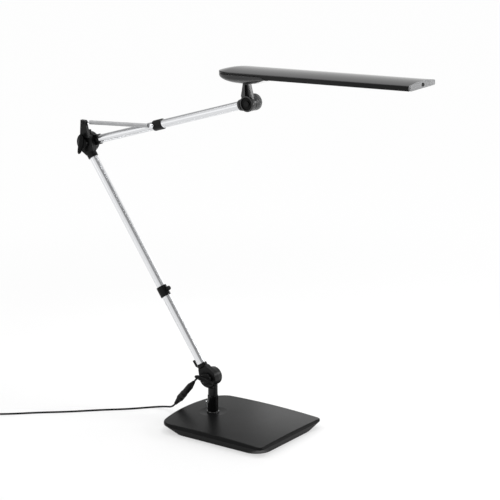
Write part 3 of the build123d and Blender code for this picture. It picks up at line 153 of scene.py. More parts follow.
FINISHES = {
    "base_black": finish("base_satin", grey(0.005), grey(0.007), (0.3, 0.36), patch=35, grain=1500,
                         depth=0.00003, specular=0.06),
    "joint_black": finish("joint_satin", grey(0.004), grey(0.006), (0.27, 0.33), patch=80, grain=2200,
                          depth=0.00002, specular=0.14),
    "gloss_black": finish("bar_gloss", grey(0.003), grey(0.004), (0.07, 0.1), patch=30, grain=600,
                          depth=0.000002, specular=0.17),
    "tube_silver": anodised("tube_anodised", 0.77, 0.81, -math.pi / 2 - LEAN),
    "grey_plastic": finish("moulded_grey", grey(0.17), grey(0.21), (0.38, 0.5), patch=70, grain=2000),
    "spring_grey": finish("sleeve_grey", grey(0.36), grey(0.41), (0.3, 0.4), patch=90, grain=1800,
                          depth=0.00002),
    "steel": finish("machined_steel", grey(0.5), grey(0.6), (0.25, 0.38), metallic=1.0, patch=400,
                    grain=2600),
    "bright_steel": finish("bright_wire", grey(0.8), grey(0.86), (0.2, 0.28), metallic=1.0, patch=200,
                           grain=1500, depth=0.00001),
    "nylon": finish("washer_nylon", grey(0.7), grey(0.78), (0.45, 0.6)),
    "rubber_black": finish("pad_rubber", grey(0.012), grey(0.02), (0.7, 0.85), grain=1400, depth=0.0001),
    "cord_black": finish("cord_jacket", grey(0.005), grey(0.008), (0.36, 0.46), patch=200, grain=2600,
                         specular=0.14),
    "heat_aluminium": finish("mill_aluminium", grey(0.62), grey(0.7), (0.3, 0.45), metallic=1.0,
                             stretch=(30, 1, 1)),
    "board": finish("lamp_board", (0.78, 0.79, 0.76), (0.84, 0.85, 0.82), (0.4, 0.55)),
    "led_yellow": finish("led_phosphor", (0.85, 0.7, 0.2), (0.92, 0.78, 0.3), (0.2, 0.3)),
    "opal": finish("opal_diffuser", grey(0.82), grey(0.87), (0.42, 0.52), patch=20, grain=1200,
                   depth=0.00002),
    "driver_green": finish("driver_mask", (0.01, 0.08, 0.03), (0.02, 0.12, 0.05), (0.35, 0.5)),
    "brass_prong": finish("prong_brass", (0.72, 0.55, 0.26), (0.8, 0.62, 0.32), (0.2, 0.32), metallic=1.0),
}
# The upper tube is the same anodised aluminium as the lower tube, coloured darker: painted shade
UPPER_TUBE_PAINTED_SHADE = anodised("upper_tube_painted_shade", 0.7, 0.74, -RISE)
END_HUB_FINISH = finish("end_hub_grey", grey(0.035), grey(0.045), (0.34, 0.42), patch=80, grain=2000,
                        specular=0.3)
# The post is the joint black coloured slightly lighter, a painted highlight on its far hub; its higher
# specular is real
POST_PAINTED_HIGHLIGHT = finish("post_painted_highlight", grey(0.006), grey(0.009), (0.27, 0.32), patch=80, grain=2200,
                     depth=0.00002, specular=0.22)
FLANGE_FINISH = finish("flange_gloss", grey(0.01), grey(0.014), (0.1, 0.14), specular=0.5)
POD_FINISH = finish("pod_satin", grey(0.014), grey(0.018), (0.2, 0.25), patch=40, grain=900,
                    depth=0.000004, specular=0.4)
# Darker copy of the joint black, painted shade: used on the wing knobs and in the stem's recess and hub
# hollow
PAINTED_SHADE_BLACK = finish("painted_shade_black", grey(0.003), grey(0.004), (0.28, 0.34), patch=80, grain=2200,
                     depth=0.00002, specular=0.09)
# The stem is the joint black coloured lighter, painted light of its lit near face; its higher specular is
# real
STEM_PAINTED_LIGHT = finish("stem_painted_light", grey(0.018), grey(0.024), (0.2, 0.26), patch=60, grain=1800,
                     specular=0.5)
KNOB_FINISH = finish("knob_grey", grey(0.08), grey(0.1), (0.4, 0.5), patch=70, grain=2000,
                     specular=0.35)


def dress(obj, material):
    if obj.data.materials:
        obj.data.materials[0] = material
    else:
        obj.data.materials.append(material)


for entry in frame["record"]["subparts"]:
    dress(nodes[entry["node"]], FINISHES[entry["material_slot"]])
for dark_node in ("hook_pin", "collar_screw", "head_bolt"):
    dress(nodes[dark_node], FINISHES["joint_black"])
dress(nodes["upper_end"], END_HUB_FINISH)
dress(nodes["swivel_post"], POST_PAINTED_HIGHLIGHT)
dress(nodes["post_bush"], FLANGE_FINISH)


# Modelling helpers
def seat(origin, along, across):
    z = Vector(along).normalized()
    x = Vector(across)
    x = (x - x.dot(z) * z).normalized()
    return Matrix.Translation(origin) @ Matrix((x, z.cross(x), z)).transposed().to_4x4()


def turned(form, profile, steps=64, closed=False):
    # A profile point is its place along the axis and its radius, in mm
    ring = [form.verts.new((radius * MM, 0, along * MM)) for along, radius in profile]
    line = [form.edges.new(pair) for pair in zip(ring, ring[1:])]
    if closed:
        line.append(form.edges.new((ring[-1], ring[0])))
    bmesh.ops.spin(form, geom=ring + line, cent=(0, 0, 0), axis=(0, 0, 1), angle=2 * math.pi, steps=steps,
                   use_merge=True)
    bmesh.ops.remove_doubles(form, verts=form.verts, dist=1e-7)


def ring_of(form, place, segments, square=1.0):
    made = bmesh.ops.create_circle(form, cap_ends=False, segments=segments, radius=1.0)
    for vert in made["verts"]:
        vert.co.x = math.copysign(abs(vert.co.x) ** square, vert.co.x)
        vert.co.y = math.copysign(abs(vert.co.y) ** square, vert.co.y)
    bmesh.ops.transform(form, matrix=place, verts=made["verts"])
    return list(dict.fromkeys(edge for vert in made["verts"] for edge in vert.link_edges))


def lofted(form, places, segments=16, square=1.0):
    rings = [ring_of(form, place, segments, square) for place in places]
    for near, far in zip(rings, rings[1:]):
        bmesh.ops.bridge_loops(form, edges=near + far)
    for end in (rings[0], rings[-1]):
        bmesh.ops.contextual_create(form, geom=end)


def made_mesh(name, form, place=None, sharp=40):
    bmesh.ops.recalc_face_normals(form, faces=form.faces)
    if place is not None:
        bmesh.ops.transform(form, matrix=place, verts=form.verts)
    mesh = bpy.data.meshes.new(name)
    form.to_mesh(mesh)
    form.free()
    mesh.shade_smooth()
    mesh.set_sharp_from_angle(angle=math.radians(sharp))
    obj = bpy.data.objects.new(name, mesh)
    scene.collection.objects.link(obj)
    return obj


def turned_piece(name, profile, place, steps, closed=False):
    form = bmesh.new()
    turned(form, profile, steps, closed)
    return made_mesh(name, form, place)


def fitted(obj, body, slot, *replaced):
    dress(obj, FINISHES[slot])
    if body is not None:
        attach(obj, body)
    if replaced:
        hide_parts(*replaced)
    return obj


# Arm tubes with broken edges at both ends
TUBE_RADIUS = 7.0
TUBE_BORE = 6.0
TUBE_EDGE = 0.3


def arm_tube(name, node, body, start, along, run):
    low, high = TUBE_SEAT / MM, (run - TUBE_SEAT) / MM
    rim = TUBE_RADIUS - TUBE_EDGE
    profile = [
        (low, TUBE_BORE), (low, rim), (low + TUBE_EDGE, TUBE_RADIUS),
        (high - TUBE_EDGE, TUBE_RADIUS), (high, rim), (high, TUBE_BORE),
    ]
    tube = turned_piece(name, profile, seat(start, along, (0, 1, 0)), 72, closed=True)
    return fitted(tube, body, "tube_silver", node)


arm_tube("lower_arm_tube", "lower_tube", "lower_arm", LOWER_JOINT, LOWER_DIR, LOWER_RUN)
upper_arm_tube = arm_tube("upper_arm_tube", "upper_tube", "upper_arm", ELBOW_FAR, UPPER_DIR, UPPER_RUN)
# The upper tube takes the darker copy of the anodising, which is painted shade
dress(upper_arm_tube, UPPER_TUBE_PAINTED_SHADE)

# Wing knobs: round hub with two flared wings, each narrowing to a beak
WING_HUB = [(0, 0), (0, 8.8), (0.5, 9.3), (4.2, 9.0), (4.8, 8.6), (6.0, 6.0), (6.3, 0)]
# Way out from the middle, half the thickness, lower and upper face, in mm
WING_STATIONS = [
    (0.0, 4.3, 3.0, 11.2), (4.0, 4.0, 3.4, 11.5), (8.0, 3.5, 4.2, 11.9), (12.0, 3.1, 5.2, 12.0),
    (15.0, 2.6, 6.3, 11.9), (16.8, 1.8, 7.4, 11.4), (17.5, 0.9, 8.4, 10.7),
]


def wing_knob(name, node, body, joint, turn):
    form = bmesh.new()
    turned(form, WING_HUB)
    reach = [(-x, half, low, high) for x, half, low, high in reversed(WING_STATIONS[1:])] + WING_STATIONS
    places = []
    for x, half, low, high in reach:
        lift = Matrix.Translation(Vector((x, 0, (low + high) / 2)) * MM)
        swell = Matrix(((0, 0, 1), (half * MM, 0, 0), (0, (high - low) / 2 * MM, 0))).to_4x4()
        places.append(lift @ swell)
    lofted(form, places, 24, square=0.7)
    across = (math.cos(turn), 0, math.sin(turn))
    place = seat((joint.x, KNOB_FACE, joint.z), TOWARD, across)
    # The wings take the darker black, which is painted shade
    dress(fitted(made_mesh(name, form, place), body, "joint_black", node), PAINTED_SHADE_BLACK)


wing_knob("lower_wing", "lower_wing_knob", "lower_knob", LOWER_JOINT, math.radians(-10))
wing_knob("elbow_wing", "elbow_wing_knob", "elbow_knob", ELBOW, math.radians(80))

# Balance spring: bright hooks, sleeve cap, collar with its stud
HOOK_PIN = ELBOW + Vector((2.5, 0, 34.2)) * MM
SPRING_END = ELBOW + Vector((138, 0, 44.4)) * MM
COLLAR_AT = 152 * MM
STUD_FOOT = -7 * MM
SPRING_DIR = (SPRING_END - HOOK_PIN).normalized()
SPRING_UP = Vector((-SPRING_DIR.z, 0, SPRING_DIR.x))
SLEEVE_START = HOOK_PIN + 7.6 * MM * SPRING_DIR
HOOK_BEND = 2.65 / 0.94
HOOK_TURNS = (40, 85, 130, 175, 220, 265, 305)
HOOK_WIRE = 0.8 * MM
CAP_PROFILE = [(0.6, 0), (0.4, 1.9), (0.9, 2.65), (2.4, 2.65), (2.4, 0)]
COLLAR_PROFILE = [
    (-9.0, 7.0), (-9.0, 8.2), (-8.5, 8.7), (-5.6, 8.7), (-5.3, 8.4), (-4.9, 8.4), (-4.6, 8.7),
    (8.5, 8.7), (9.0, 8.2), (9.0, 7.0),
]
STUD_PROFILE = [
    (-2.0, 0), (-2.0, 2.0), (4.7, 2.0), (4.7, 3.0), (5.0, 3.2), (5.5, 3.1), (5.9, 2.6), (5.9, 0),
]


def spline_curve(name, points, radius, resolution=8):
    curve = bpy.data.curves.new(name, "CURVE")
    curve.dimensions = "3D"
    spline = curve.splines.new("NURBS")
    spline.points.add(len(points) - 1)
    for place, point in zip(points, spline.points):
        point.co = (*place, 1)
    spline.order_u = 3
    spline.use_endpoint_u = True
    spline.resolution_u = resolution
    curve.bevel_depth = radius
    curve.bevel_resolution = 5
    curve.use_fill_caps = True
    obj = bpy.data.objects.new(name, curve)
    scene.collection.objects.link(obj)
    return obj


def mesh_of(curve, name):
    mesh = bpy.data.meshes.new_from_object(curve)
    bpy.data.objects.remove(curve)
    mesh.shade_smooth()
    obj = bpy.data.objects.new(name, mesh)
    scene.collection.objects.link(obj)
    return obj


def wire_hook(name, centre, along):
    bend = [(13.0, 0), (8.0, 0), (5.4, 0), (3.6, 0.5)]
    for turn in HOOK_TURNS:
        bend.append((HOOK_BEND * math.cos(math.radians(turn)), HOOK_BEND * math.sin(math.radians(turn))))
    points = [centre + MM * (run * along + lift * SPRING_UP) for run, lift in bend]
    return mesh_of(spline_curve(name + "_line", points, HOOK_WIRE), name)


rear_hook = wire_hook("sleeve_rear_hook", HOOK_PIN, SPRING_DIR)
fitted(rear_hook, None, "bright_steel", "rear_hook")
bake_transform(rear_hook)
fitted(wire_hook("sleeve_front_hook", SPRING_END, -SPRING_DIR), "upper_arm", "bright_steel", "front_hook")

cap_seat = seat(SLEEVE_START, SPRING_DIR, (0, 1, 0))
rear_cap = turned_piece("sleeve_rear_cap", CAP_PROFILE, cap_seat, 32)
fitted(rear_cap, "upper_arm", "spring_grey")
collar_seat = seat(ELBOW_FAR + COLLAR_AT * UPPER_DIR, UPPER_DIR, (0, 1, 0))
collar = turned_piece("spring_collar_ring", COLLAR_PROFILE, collar_seat, 64, closed=True)
fitted(collar, "upper_arm", "joint_black", "spring_collar")
stud_seat = seat((SPRING_END.x, STUD_FOOT, SPRING_END.z), TOWARD, (1, 0, 0))
stud = turned_piece("spring_stud", STUD_PROFILE, stud_seat, 40)
fitted(stud, "upper_arm", "bright_steel", "spring_collar")

# Light bar: crowned lid with a rounded shoulder, drooping nose and an edge that deepens past the pod
BAR_SEAT = seat(BAR_CENTRE, STEM_DIR, HEAD_DIR)
BAR_HALF = 34.5
BAR_TIP = 45.0
END_RUN = 34.0
END_MID = END_RUN - BAR_TIP
LID_FRONT = 309.8
BAR_EDGE = 7.4
LID_EDGE = 2.6
POD_FRONT = 62.0
SEAM_FALL = 16.0
CROWN = 2.9
SHOULDER = 0.9
LID_WALL = 1.8
LID_CEILING = -1.6
NOSE_START = -20.0
NOSE_BEND = 90.0
END_SHARE = 0.4
FLAT_SHARE = 0.8


def bar_outline(run, front):
    if run < END_SHARE:
        turn = run / END_SHARE * math.pi / 2
        return END_MID - END_RUN * math.cos(turn), BAR_HALF * math.sin(turn)
    return END_MID + (front - END_MID) * (run - END_SHARE) / (1 - END_SHARE), BAR_HALF


def lid_depth(u):
    share = min(1.0, max(0.0, (u - POD_FRONT) / SEAM_FALL + 1))
    return LID_EDGE + (BAR_EDGE - LID_EDGE) * share * share * (3 - 2 * share)


def lid_point(run, side):
    u, half = bar_outline(run, LID_FRONT)
    bend = max(0.0, abs(side) - FLAT_SHARE) / (1 - FLAT_SHARE) * math.pi / 2
    round_off = min(SHOULDER, half)
    if abs(side) < FLAT_SHARE:
        v = (half - round_off) * abs(side) / FLAT_SHARE
    else:
        v = half - round_off + round_off * math.sin(bend)
    fall = SHOULDER if half < SHOULDER else SHOULDER * (1 - math.cos(bend))
    past = max(0.0, NOSE_START - u)
    droop = NOSE_BEND - math.sqrt(NOSE_BEND ** 2 - past ** 2)
    return Vector((u, math.copysign(v, side), CROWN * (1 - (v / BAR_HALF) ** 2) - fall - droop)) * MM


def draped(form, columns, rows, surface):
    bmesh.ops.create_grid(form, x_segments=columns, y_segments=rows, size=1)
    for vert in form.verts:
        vert.co = surface((vert.co.x + 1) / 2, vert.co.y)
    bmesh.ops.remove_doubles(form, verts=form.verts, dist=1e-6)


def skirt(form, edges):
    made = bmesh.ops.extrude_edge_only(form, edges=edges)["geom"]
    verts = [item for item in made if isinstance(item, bmesh.types.BMVert)]
    return verts, [item for item in made if isinstance(item, bmesh.types.BMEdge)]


def bar_lid():
    form = bmesh.new()
    draped(form, 96, 40, lid_point)
    verts, edges = skirt(form, [edge for edge in form.edges if edge.is_boundary])
    for vert in verts:
        vert.co.z = -lid_depth(vert.co.x / MM) * MM
    verts, edges = skirt(form, [edge for edge in edges if edge.is_boundary])
    for vert in verts:
        vert.co.y *= 1 - LID_WALL / BAR_HALF
        if vert.co.x < END_MID * MM:
            vert.co.x = END_MID * MM + (vert.co.x - END_MID * MM) * (1 - LID_WALL / END_RUN)
    verts, edges = skirt(form, [edge for edge in edges if edge.is_boundary])
    for vert in verts:
        vert.co.z = LID_CEILING * MM
    bmesh.ops.contextual_create(form, geom=edges)
    return made_mesh("bar_lid", form, BAR_SEAT, sharp=50)


fitted(bar_lid(), "head", "gloss_black", "head_shell")

# Pod under the rear end: rounded shoulder below the seam, full belly, rising to the front
SEAM_GAP = 0.4
SHOULDER_SHARE = 0.75
POD_DEPTH = 20.4
POD_MIDDLE = 5.0
POD_REAR_RUN = 50.5
POD_FRONT_RISE = 12.2
BELLY_POWER = 2.4
BELLY_ROOT = 0.4545
SHOULDER_INSET = 1.6
SHOULDER_DROP = 3.2


def pod_bottom(u):
    if u < POD_MIDDLE:
        return POD_DEPTH * (1 - ((POD_MIDDLE - u) / POD_REAR_RUN) ** BELLY_POWER) ** BELLY_ROOT
    return POD_DEPTH - POD_FRONT_RISE * ((u - POD_MIDDLE) / (POD_FRONT - POD_MIDDLE)) ** 2


def pod_point(run, side):
    u, half = bar_outline(run, POD_FRONT)
    seam = lid_depth(u) + SEAM_GAP
    belly = pod_bottom(u) - seam
    inset, drop = min(SHOULDER_INSET, 0.4 * half), min(SHOULDER_DROP, 0.3 * belly)
    if abs(side) > SHOULDER_SHARE:
        bend = (1 - abs(side)) / (1 - SHOULDER_SHARE) * math.pi / 2
        v, w = half - inset + inset * math.sin(bend), seam + drop * (1 - math.cos(bend))
    else:
        bend = (1 - abs(side) / SHOULDER_SHARE) * math.pi / 2
        v, w = half * math.cos(bend), seam + drop + (belly - drop) * math.sin(bend)
    return Vector((u, math.copysign(v, side), -w)) * MM


form = bmesh.new()
draped(form, 60, 64, pod_point)
bmesh.ops.contextual_create(form, geom=[edge for edge in form.edges if edge.is_boundary])
pod_shell = made_mesh("pod_shell", form, BAR_SEAT, sharp=50)
dress(fitted(pod_shell, "head", "gloss_black", "head_pod"), POD_FINISH)

# Head joint knob with a fluted rim
FLUTES = 36
FLUTE_DEPTH = 0.025
RIM_RADIUS = 12.5 * MM
HEAD_KNOB_FACE = 2.05 * MM
HEAD_KNOB_PROFILE = [
    (0, 0), (0, 12.1), (0.5, 12.8), (6.4, 12.8), (7.0, 12.2), (7.0, 11.3), (7.3, 11.0), (7.8, 10.7),
    (7.8, 6.2), (7.5, 5.8), (7.5, 0),
]

form = bmesh.new()
turned(form, HEAD_KNOB_PROFILE, 6 * FLUTES)
for vert in form.verts:
    reach = math.hypot(vert.co.x, vert.co.y)
    if reach > RIM_RADIUS:
        flute = 1 + FLUTE_DEPTH * math.cos(FLUTES * math.atan2(vert.co.y, vert.co.x))
        vert.co.x *= flute
        vert.co.y *= flute
knob_seat = seat((HEAD_JOINT.x, HEAD_KNOB_FACE, HEAD_JOINT.z), (0, 1, 0), (1, 0, 0))
fluted_knob = made_mesh("fluted_head_knob", form, knob_seat)
dress(fitted(fluted_knob, "head_tilt_knob", "grey_plastic", "head_knob"), KNOB_FINISH)

# Head stem: round hub with a hollow near face, tapering blade with a recess, pin into the pod
STEM_TOP = 31.9
STEM_HEIGHTS = (3, 9.6, 11.4, 14, 18, 22, 26, 29, STEM_TOP)
HUB_HALF = 5.0
HOLLOW_FLOOR = 3.2
HOLLOW_RADIUS = 10.3
HOLLOW_LOW, HOLLOW_HIGH = 3.0, 4.9
HUB_PROFILE = [
    (-5.0, 0), (-5.0, 12.3), (-4.6, 12.7), (4.0, 12.7), (4.6, 12.5), (5.0, 11.9), (5.0, 10.4), (4.6, 9.9),
    (HOLLOW_FLOOR, 9.4), (HOLLOW_FLOOR, 0),
]
BLADE_HALF = 11.9
BLADE_START = 2.84
BLADE_TAPER = 0.2295
BLADE_BACK = -4.2
BLADE_SHIFT = -0.5
FOOT_TOP = 10
FOOT_FACE = HOLLOW_FLOOR - 0.2
FOOT_BACK = -2.6
PANEL_START = 12
PANEL_REAR = -1.8
PANEL_WALL = 0.4
PANEL_DEPTH = 2.6
PIN_RADIUS = 4.0
PIN_LENGTH = 14.0
PIN_MIDDLE = STEM_TOP + 5.0


def blade_half(height):
    return BLADE_HALF - BLADE_TAPER * (height - BLADE_START)


form = bmesh.new()
places = []
for height in STEM_HEIGHTS:
    front, back = (HUB_HALF, BLADE_BACK) if height > FOOT_TOP else (FOOT_FACE, FOOT_BACK)
    middle, depth = (front + back) / 2, (front - back) / 2
    places.append(Matrix(((blade_half(height) * MM, 0, 0, BLADE_SHIFT * MM), (0, 0, 1, height * MM),
                          (0, depth * MM, 0, middle * MM), (0, 0, 0, 1))))
lofted(form, places, 32, square=0.22)
bmesh.ops.recalc_face_normals(form, faces=form.faces)
form.normal_update()
panel = []
for face in form.faces:
    middle = face.calc_center_median() / MM
    across = abs(middle.x - BLADE_SHIFT) / blade_half(middle.y)
    if face.normal.z > 0.9 and middle.y > PANEL_START and across < 0.5:
        panel.append(face)
for vert in {vert for face in panel for vert in face.verts}:
    vert.co.x = max(vert.co.x, PANEL_REAR * MM)
walls = bmesh.ops.inset_region(form, faces=panel, thickness=PANEL_WALL * MM, depth=-PANEL_DEPTH * MM)
# The recess takes the darker black as material 1: painted shade
for face in panel + walls["faces"]:
    face.material_index = 1
turned(form, HUB_PROFILE, 72)
form.normal_update()
for face in form.faces:
    middle = face.calc_center_median() / MM
    inside = math.hypot(middle.x, middle.y) < HOLLOW_RADIUS and HOLLOW_LOW < middle.z < HOLLOW_HIGH
    # The hollow of the hub takes the darker black too: painted shade
    if inside and abs(face.normal.z) > 0.2:
        face.material_index = 1
pin_seat = Matrix.Translation((0, PIN_MIDDLE * MM, 0)) @ Matrix.Rotation(math.radians(-90), 4, "X")
bmesh.ops.create_cone(form, cap_ends=True, segments=40, radius1=PIN_RADIUS * MM, radius2=PIN_RADIUS * MM,
                      depth=PIN_LENGTH * MM, matrix=pin_seat)
stem_arm = made_mesh("stem_arm", form, seat(HEAD_JOINT, TOWARD, HEAD_DIR))
dress(fitted(stem_arm, "stem", "joint_black", "head_stem"), STEM_PAINTED_LIGHT)
stem_arm.data.materials.append(PAINTED_SHADE_BLACK)


# Lead: in-line connector, pigtail at the hub, free lead on the table with its coil
def mm(*point):
    return Vector(point) * MM


GROMMET_DROP = math.radians(19)
GROMMET_DIR = Vector((-math.cos(GROMMET_DROP), 0, -math.sin(GROMMET_DROP)))
LEAD_EXIT = mm(-14.866, 0, 79.0) + 4.7 * MM * GROMMET_DIR
JACK_AT = mm(-38.6, 0, 63.0)
CONNECTOR_DIR = (mm(-78.6, 0, 15.8) - JACK_AT).normalized()
CONNECTOR_SEAT = seat(JACK_AT, CONNECTOR_DIR, (0, 1, 0))
PLUG_TIP = JACK_AT + 61 * MM * CONNECTOR_DIR


def ribbed(start, end, thin, thick, ribs):
    profile = []
    pitch = (end - start) / ribs
    for rib in range(ribs):
        along = start + rib * pitch
        radius = thin + (thick - thin) * (rib + 0.5) / ribs
        profile += [(along, radius - 0.45), (along + 0.15 * pitch, radius),
                    (along + 0.6 * pitch, radius + 0.1), (along + 0.75 * pitch, radius - 0.4)]
    return profile


JACK_PROFILE = [(0, 0), (0, 2.3)] + ribbed(0.2, 11.0, 2.5, 4.9, 6) + [
    (11.0, 4.6), (11.4, 5.2), (12.2, 5.4), (21.0, 5.4), (21.3, 5.1), (22.0, 5.1), (22.3, 5.4),
    (29.8, 5.4), (30.6, 5.2), (30.9, 4.8), (30.9, 0),
]
PLUG_PROFILE = [
    (31.0, 0), (31.0, 5.4), (31.3, 5.9), (31.9, 6.0), (38.0, 6.0), (38.4, 5.7), (39.0, 5.7),
    (39.4, 6.0), (45.6, 6.0), (46.4, 5.7), (46.8, 5.2),
] + ribbed(47.0, 60.6, 5.0, 2.5, 6) + [(60.8, 2.2), (61.0, 0)]
jack = turned_piece("jack_body", JACK_PROFILE, CONNECTOR_SEAT, 48)
fitted(jack, "base", "cord_black", "dc_jack")
plug = turned_piece("plug_body", PLUG_PROFILE, CONNECTOR_SEAT, 48)
fitted(plug, "base", "cord_black", "dc_plug")

PIGTAIL_RUN = (JACK_AT - LEAD_EXIT).length / 3
TUCK = 3.5 * MM
PIGTAIL_ROUTE = [
    LEAD_EXIT - TUCK * GROMMET_DIR, LEAD_EXIT, LEAD_EXIT + PIGTAIL_RUN * GROMMET_DIR,
    JACK_AT - PIGTAIL_RUN * CONNECTOR_DIR, JACK_AT, JACK_AT + TUCK * CONNECTOR_DIR,
]
pigtail_curve = spline_curve("pigtail_line", PIGTAIL_ROUTE, radius=0.0, resolution=12)
pigtail_line = mesh_of(pigtail_curve, "pigtail_points")
pigtail_path = [vert.co.copy() for vert in pigtail_line.data.vertices]
bpy.data.objects.remove(pigtail_line)
jacket = Matrix.Diagonal((CORD_RADIUS, CORD_RADIUS, 1, 1))
befores, afters = pigtail_path[:1] + pigtail_path, pigtail_path[1:] + pigtail_path[-1:]
places = []
for before, here, after in zip(befores, pigtail_path, afters):
    places.append(seat(here, after - before, (0, 1, 0)) @ jacket)
form = bmesh.new()
lofted(form, places, 20)
pigtail = fitted(made_mesh("pigtail_cord", form, sharp=60), None, "cord_black", "pigtail")
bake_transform(pigtail)

TABLE_ROUTE = [
    PLUG_TIP, PLUG_TIP + 9 * MM * CONNECTOR_DIR, mm(-103, 6.5, 4.6), mm(-121, 2.2, 1.55),
    mm(-137, -16.4, 1.55), mm(-155, -36, 1.55), mm(-187, -64, 1.55), mm(-224, -101.5, 1.55),
    mm(-262, -133, 1.55), mm(-296, -167, 1.75),
]
HEADING = math.atan2(-0.672, -0.74)
AHEAD = Vector((math.cos(HEADING), math.sin(HEADING), 0))
OUTWARD = Vector((-AHEAD.y, AHEAD.x, 0))
COIL_START = mm(-334, -199, 2.45)
COIL_OUTER = 25.8 * MM
COIL_PITCH = 3.75 * MM
COIL_RISE = 3.6 * MM
COIL_TURNS = 4
COIL_LEAD_IN = 16 * MM
TAIL = 26 * MM
CASE_REACH = 16 * MM
COIL_CENTRE = COIL_START + 2 * CORD_RADIUS * AHEAD - COIL_OUTER * OUTWARD


def on_coil(a, b, z):
    return COIL_CENTRE + a * OUTWARD + b * AHEAD + Vector((0, 0, z))


# Half turns wind inwards on the table, climb to a second layer and wind outwards again
def coil_points(steps=8):
    points = []
    # The curve runs inside its control points, so these lie slightly outside the wanted radius
    swell = 1 / (0.75 + 0.25 * math.cos(math.pi / steps))
    place, side, radius = COIL_OUTER, 1, COIL_OUTER
    for half_turn in range(4 * COIL_TURNS):
        centre = place - side * radius
        for step in range(steps):
            turn = math.pi * (step + 0.5) / steps
            share = min(max((half_turn - 2 * COIL_TURNS) + (step + 0.5) / steps, 0.0), 1.0)
            climb = share * share * (3 - 2 * share)
            points.append(on_coil(centre + side * swell * radius * math.cos(turn),
                                  side * swell * radius * math.sin(turn), climb * COIL_RISE))
        place = centre - side * radius
        side = -side
        radius += COIL_PITCH / 2 if half_turn >= 2 * COIL_TURNS else -COIL_PITCH / 2
    for step in range(steps // 2):
        turn = math.pi * (step + 0.5) / steps
        points.append(on_coil(place - radius + swell * radius * math.cos(turn),
                              swell * radius * math.sin(turn), COIL_RISE))
    points.append(on_coil(place - radius - 0.3 * TAIL, radius, COIL_RISE))
    points.append(on_coil(place - radius - TAIL, radius, COIL_RISE))
    return points


coil = coil_points()
TAIL_END = coil[-1]
INTO_CASE = TAIL_END - CASE_REACH * OUTWARD
lead_route = TABLE_ROUTE + [COIL_START - COIL_LEAD_IN * AHEAD, COIL_START] + coil + [INTO_CASE]
lead = spline_curve("table_lead", lead_route, CORD_RADIUS)
fitted(lead, "base", "cord_black", "floor_lead", "lead_coil")

# Plug-in adapter: rounded case with a seam, ribbed relief
ADAPTER_SEAT = seat((TAIL_END.x, TAIL_END.y, 0), UP, -OUTWARD)
ADAPTER_SIZE = mm(58, 34, 27)
ADAPTER_MID = mm(37, 0, 13.5)
SEAM_CUTS = (12.9, 13.2, 13.6, 13.9)
SEAM_DEPTH = 0.5 * MM
RELIEF_PROFILE = [(0, 1.7), (0, 2.0)] + ribbed(0.2, 8.0, 2.2, 3.2, 4) + [
    (8.0, 3.3), (9.0, 3.3), (9.0, 1.7),
]


def boxed(form, middle, size):
    bmesh.ops.create_cube(form, size=1, matrix=Matrix.Translation(middle) @ Matrix.Diagonal((*size, 1)))


def edges_where(form, rule):
    return [edge for edge in form.edges if rule(*(vert.co for vert in edge.verts))]


def rounded(form, edges, width, segments):
    bmesh.ops.bevel(form, geom=edges, offset=width * MM, offset_type="OFFSET", segments=segments,
                    profile=0.5, affect="EDGES", clamp_overlap=True, material=-1)


form = bmesh.new()
boxed(form, ADAPTER_MID, ADAPTER_SIZE)
rounded(form, edges_where(form, lambda a, b: abs(a.z - b.z) > 20 * MM), 5, 6)
rounded(form, edges_where(form, lambda a, b: min(a.z, b.z) > 26.9 * MM), 3, 4)
rounded(form, edges_where(form, lambda a, b: max(a.z, b.z) < 0.1 * MM), 0.8, 2)
for height in SEAM_CUTS:
    bmesh.ops.bisect_plane(form, geom=form.verts[:] + form.edges[:] + form.faces[:],
                           plane_co=(0, 0, height * MM), plane_no=(0, 0, 1))
groove = [vert for vert in form.verts if 13.1 * MM < vert.co.z < 13.7 * MM]
narrower = (1 - 2 * SEAM_DEPTH / ADAPTER_SIZE.x, 1 - 2 * SEAM_DEPTH / ADAPTER_SIZE.y, 1)
bmesh.ops.scale(form, vec=narrower, space=Matrix.Translation(-ADAPTER_MID), verts=groove)
adapter = made_mesh("adapter_case", form, ADAPTER_SEAT, sharp=30)
fitted(adapter, "base", "joint_black", "adapter_body")
relief = turned_piece("adapter_relief", RELIEF_PROFILE, seat(TAIL_END, -OUTWARD, UP), 32, closed=True)
fitted(relief, "base", "cord_black")

# Strap round the coil
STRAP_OUT, STRAP_IN = -28.45, -7.15
STRAP_TOP = 8.5
STRAP_WIDTH = 8.0
STRAP_WALL = 0.8
strap_mid = mm((STRAP_OUT + STRAP_IN) / 2, STRAP_TOP / 2, 0)
strap_size = mm(STRAP_IN - STRAP_OUT, STRAP_TOP, STRAP_WIDTH)
form = bmesh.new()
boxed(form, strap_mid, strap_size)
rounded(form, edges_where(form, lambda a, b: abs(a.z - b.z) > 7 * MM), 2.4, 5)
open_sides = [face for face in form.faces if abs(face.normal.z) > 0.9]
bmesh.ops.delete(form, geom=open_sides, context="FACES_ONLY")
bmesh.ops.recalc_face_normals(form, faces=form.faces)
bmesh.ops.solidify(form, geom=form.faces[:], thickness=STRAP_WALL * MM)
strap_seat = Matrix.Translation(Vector((COIL_CENTRE.x, COIL_CENTRE.y, 0))) @ Matrix(
    (OUTWARD, UP, OUTWARD.cross(UP))).transposed().to_4x4()
strap = fitted(made_mesh("coil_strap", form, strap_seat), "base", "rubber_black", "coil_tie")

# Camera where the photograph was taken from
CAMERA_DIP = 15.39
CAMERA_TURN = 35.64

camera_data = bpy.data.cameras.new("photo_camera")
camera_data.lens = 144
camera_data.sensor_width = 36
camera_data.clip_end = 50
camera = bpy.data.objects.new("photo_camera", camera_data)
camera.location = (1.8438, -2.4679, 1.1409)
camera.rotation_euler = (math.radians(90 - CAMERA_DIP), 0, math.radians(CAMERA_TURN))
scene.collection.objects.link(camera)
scene.camera = camera


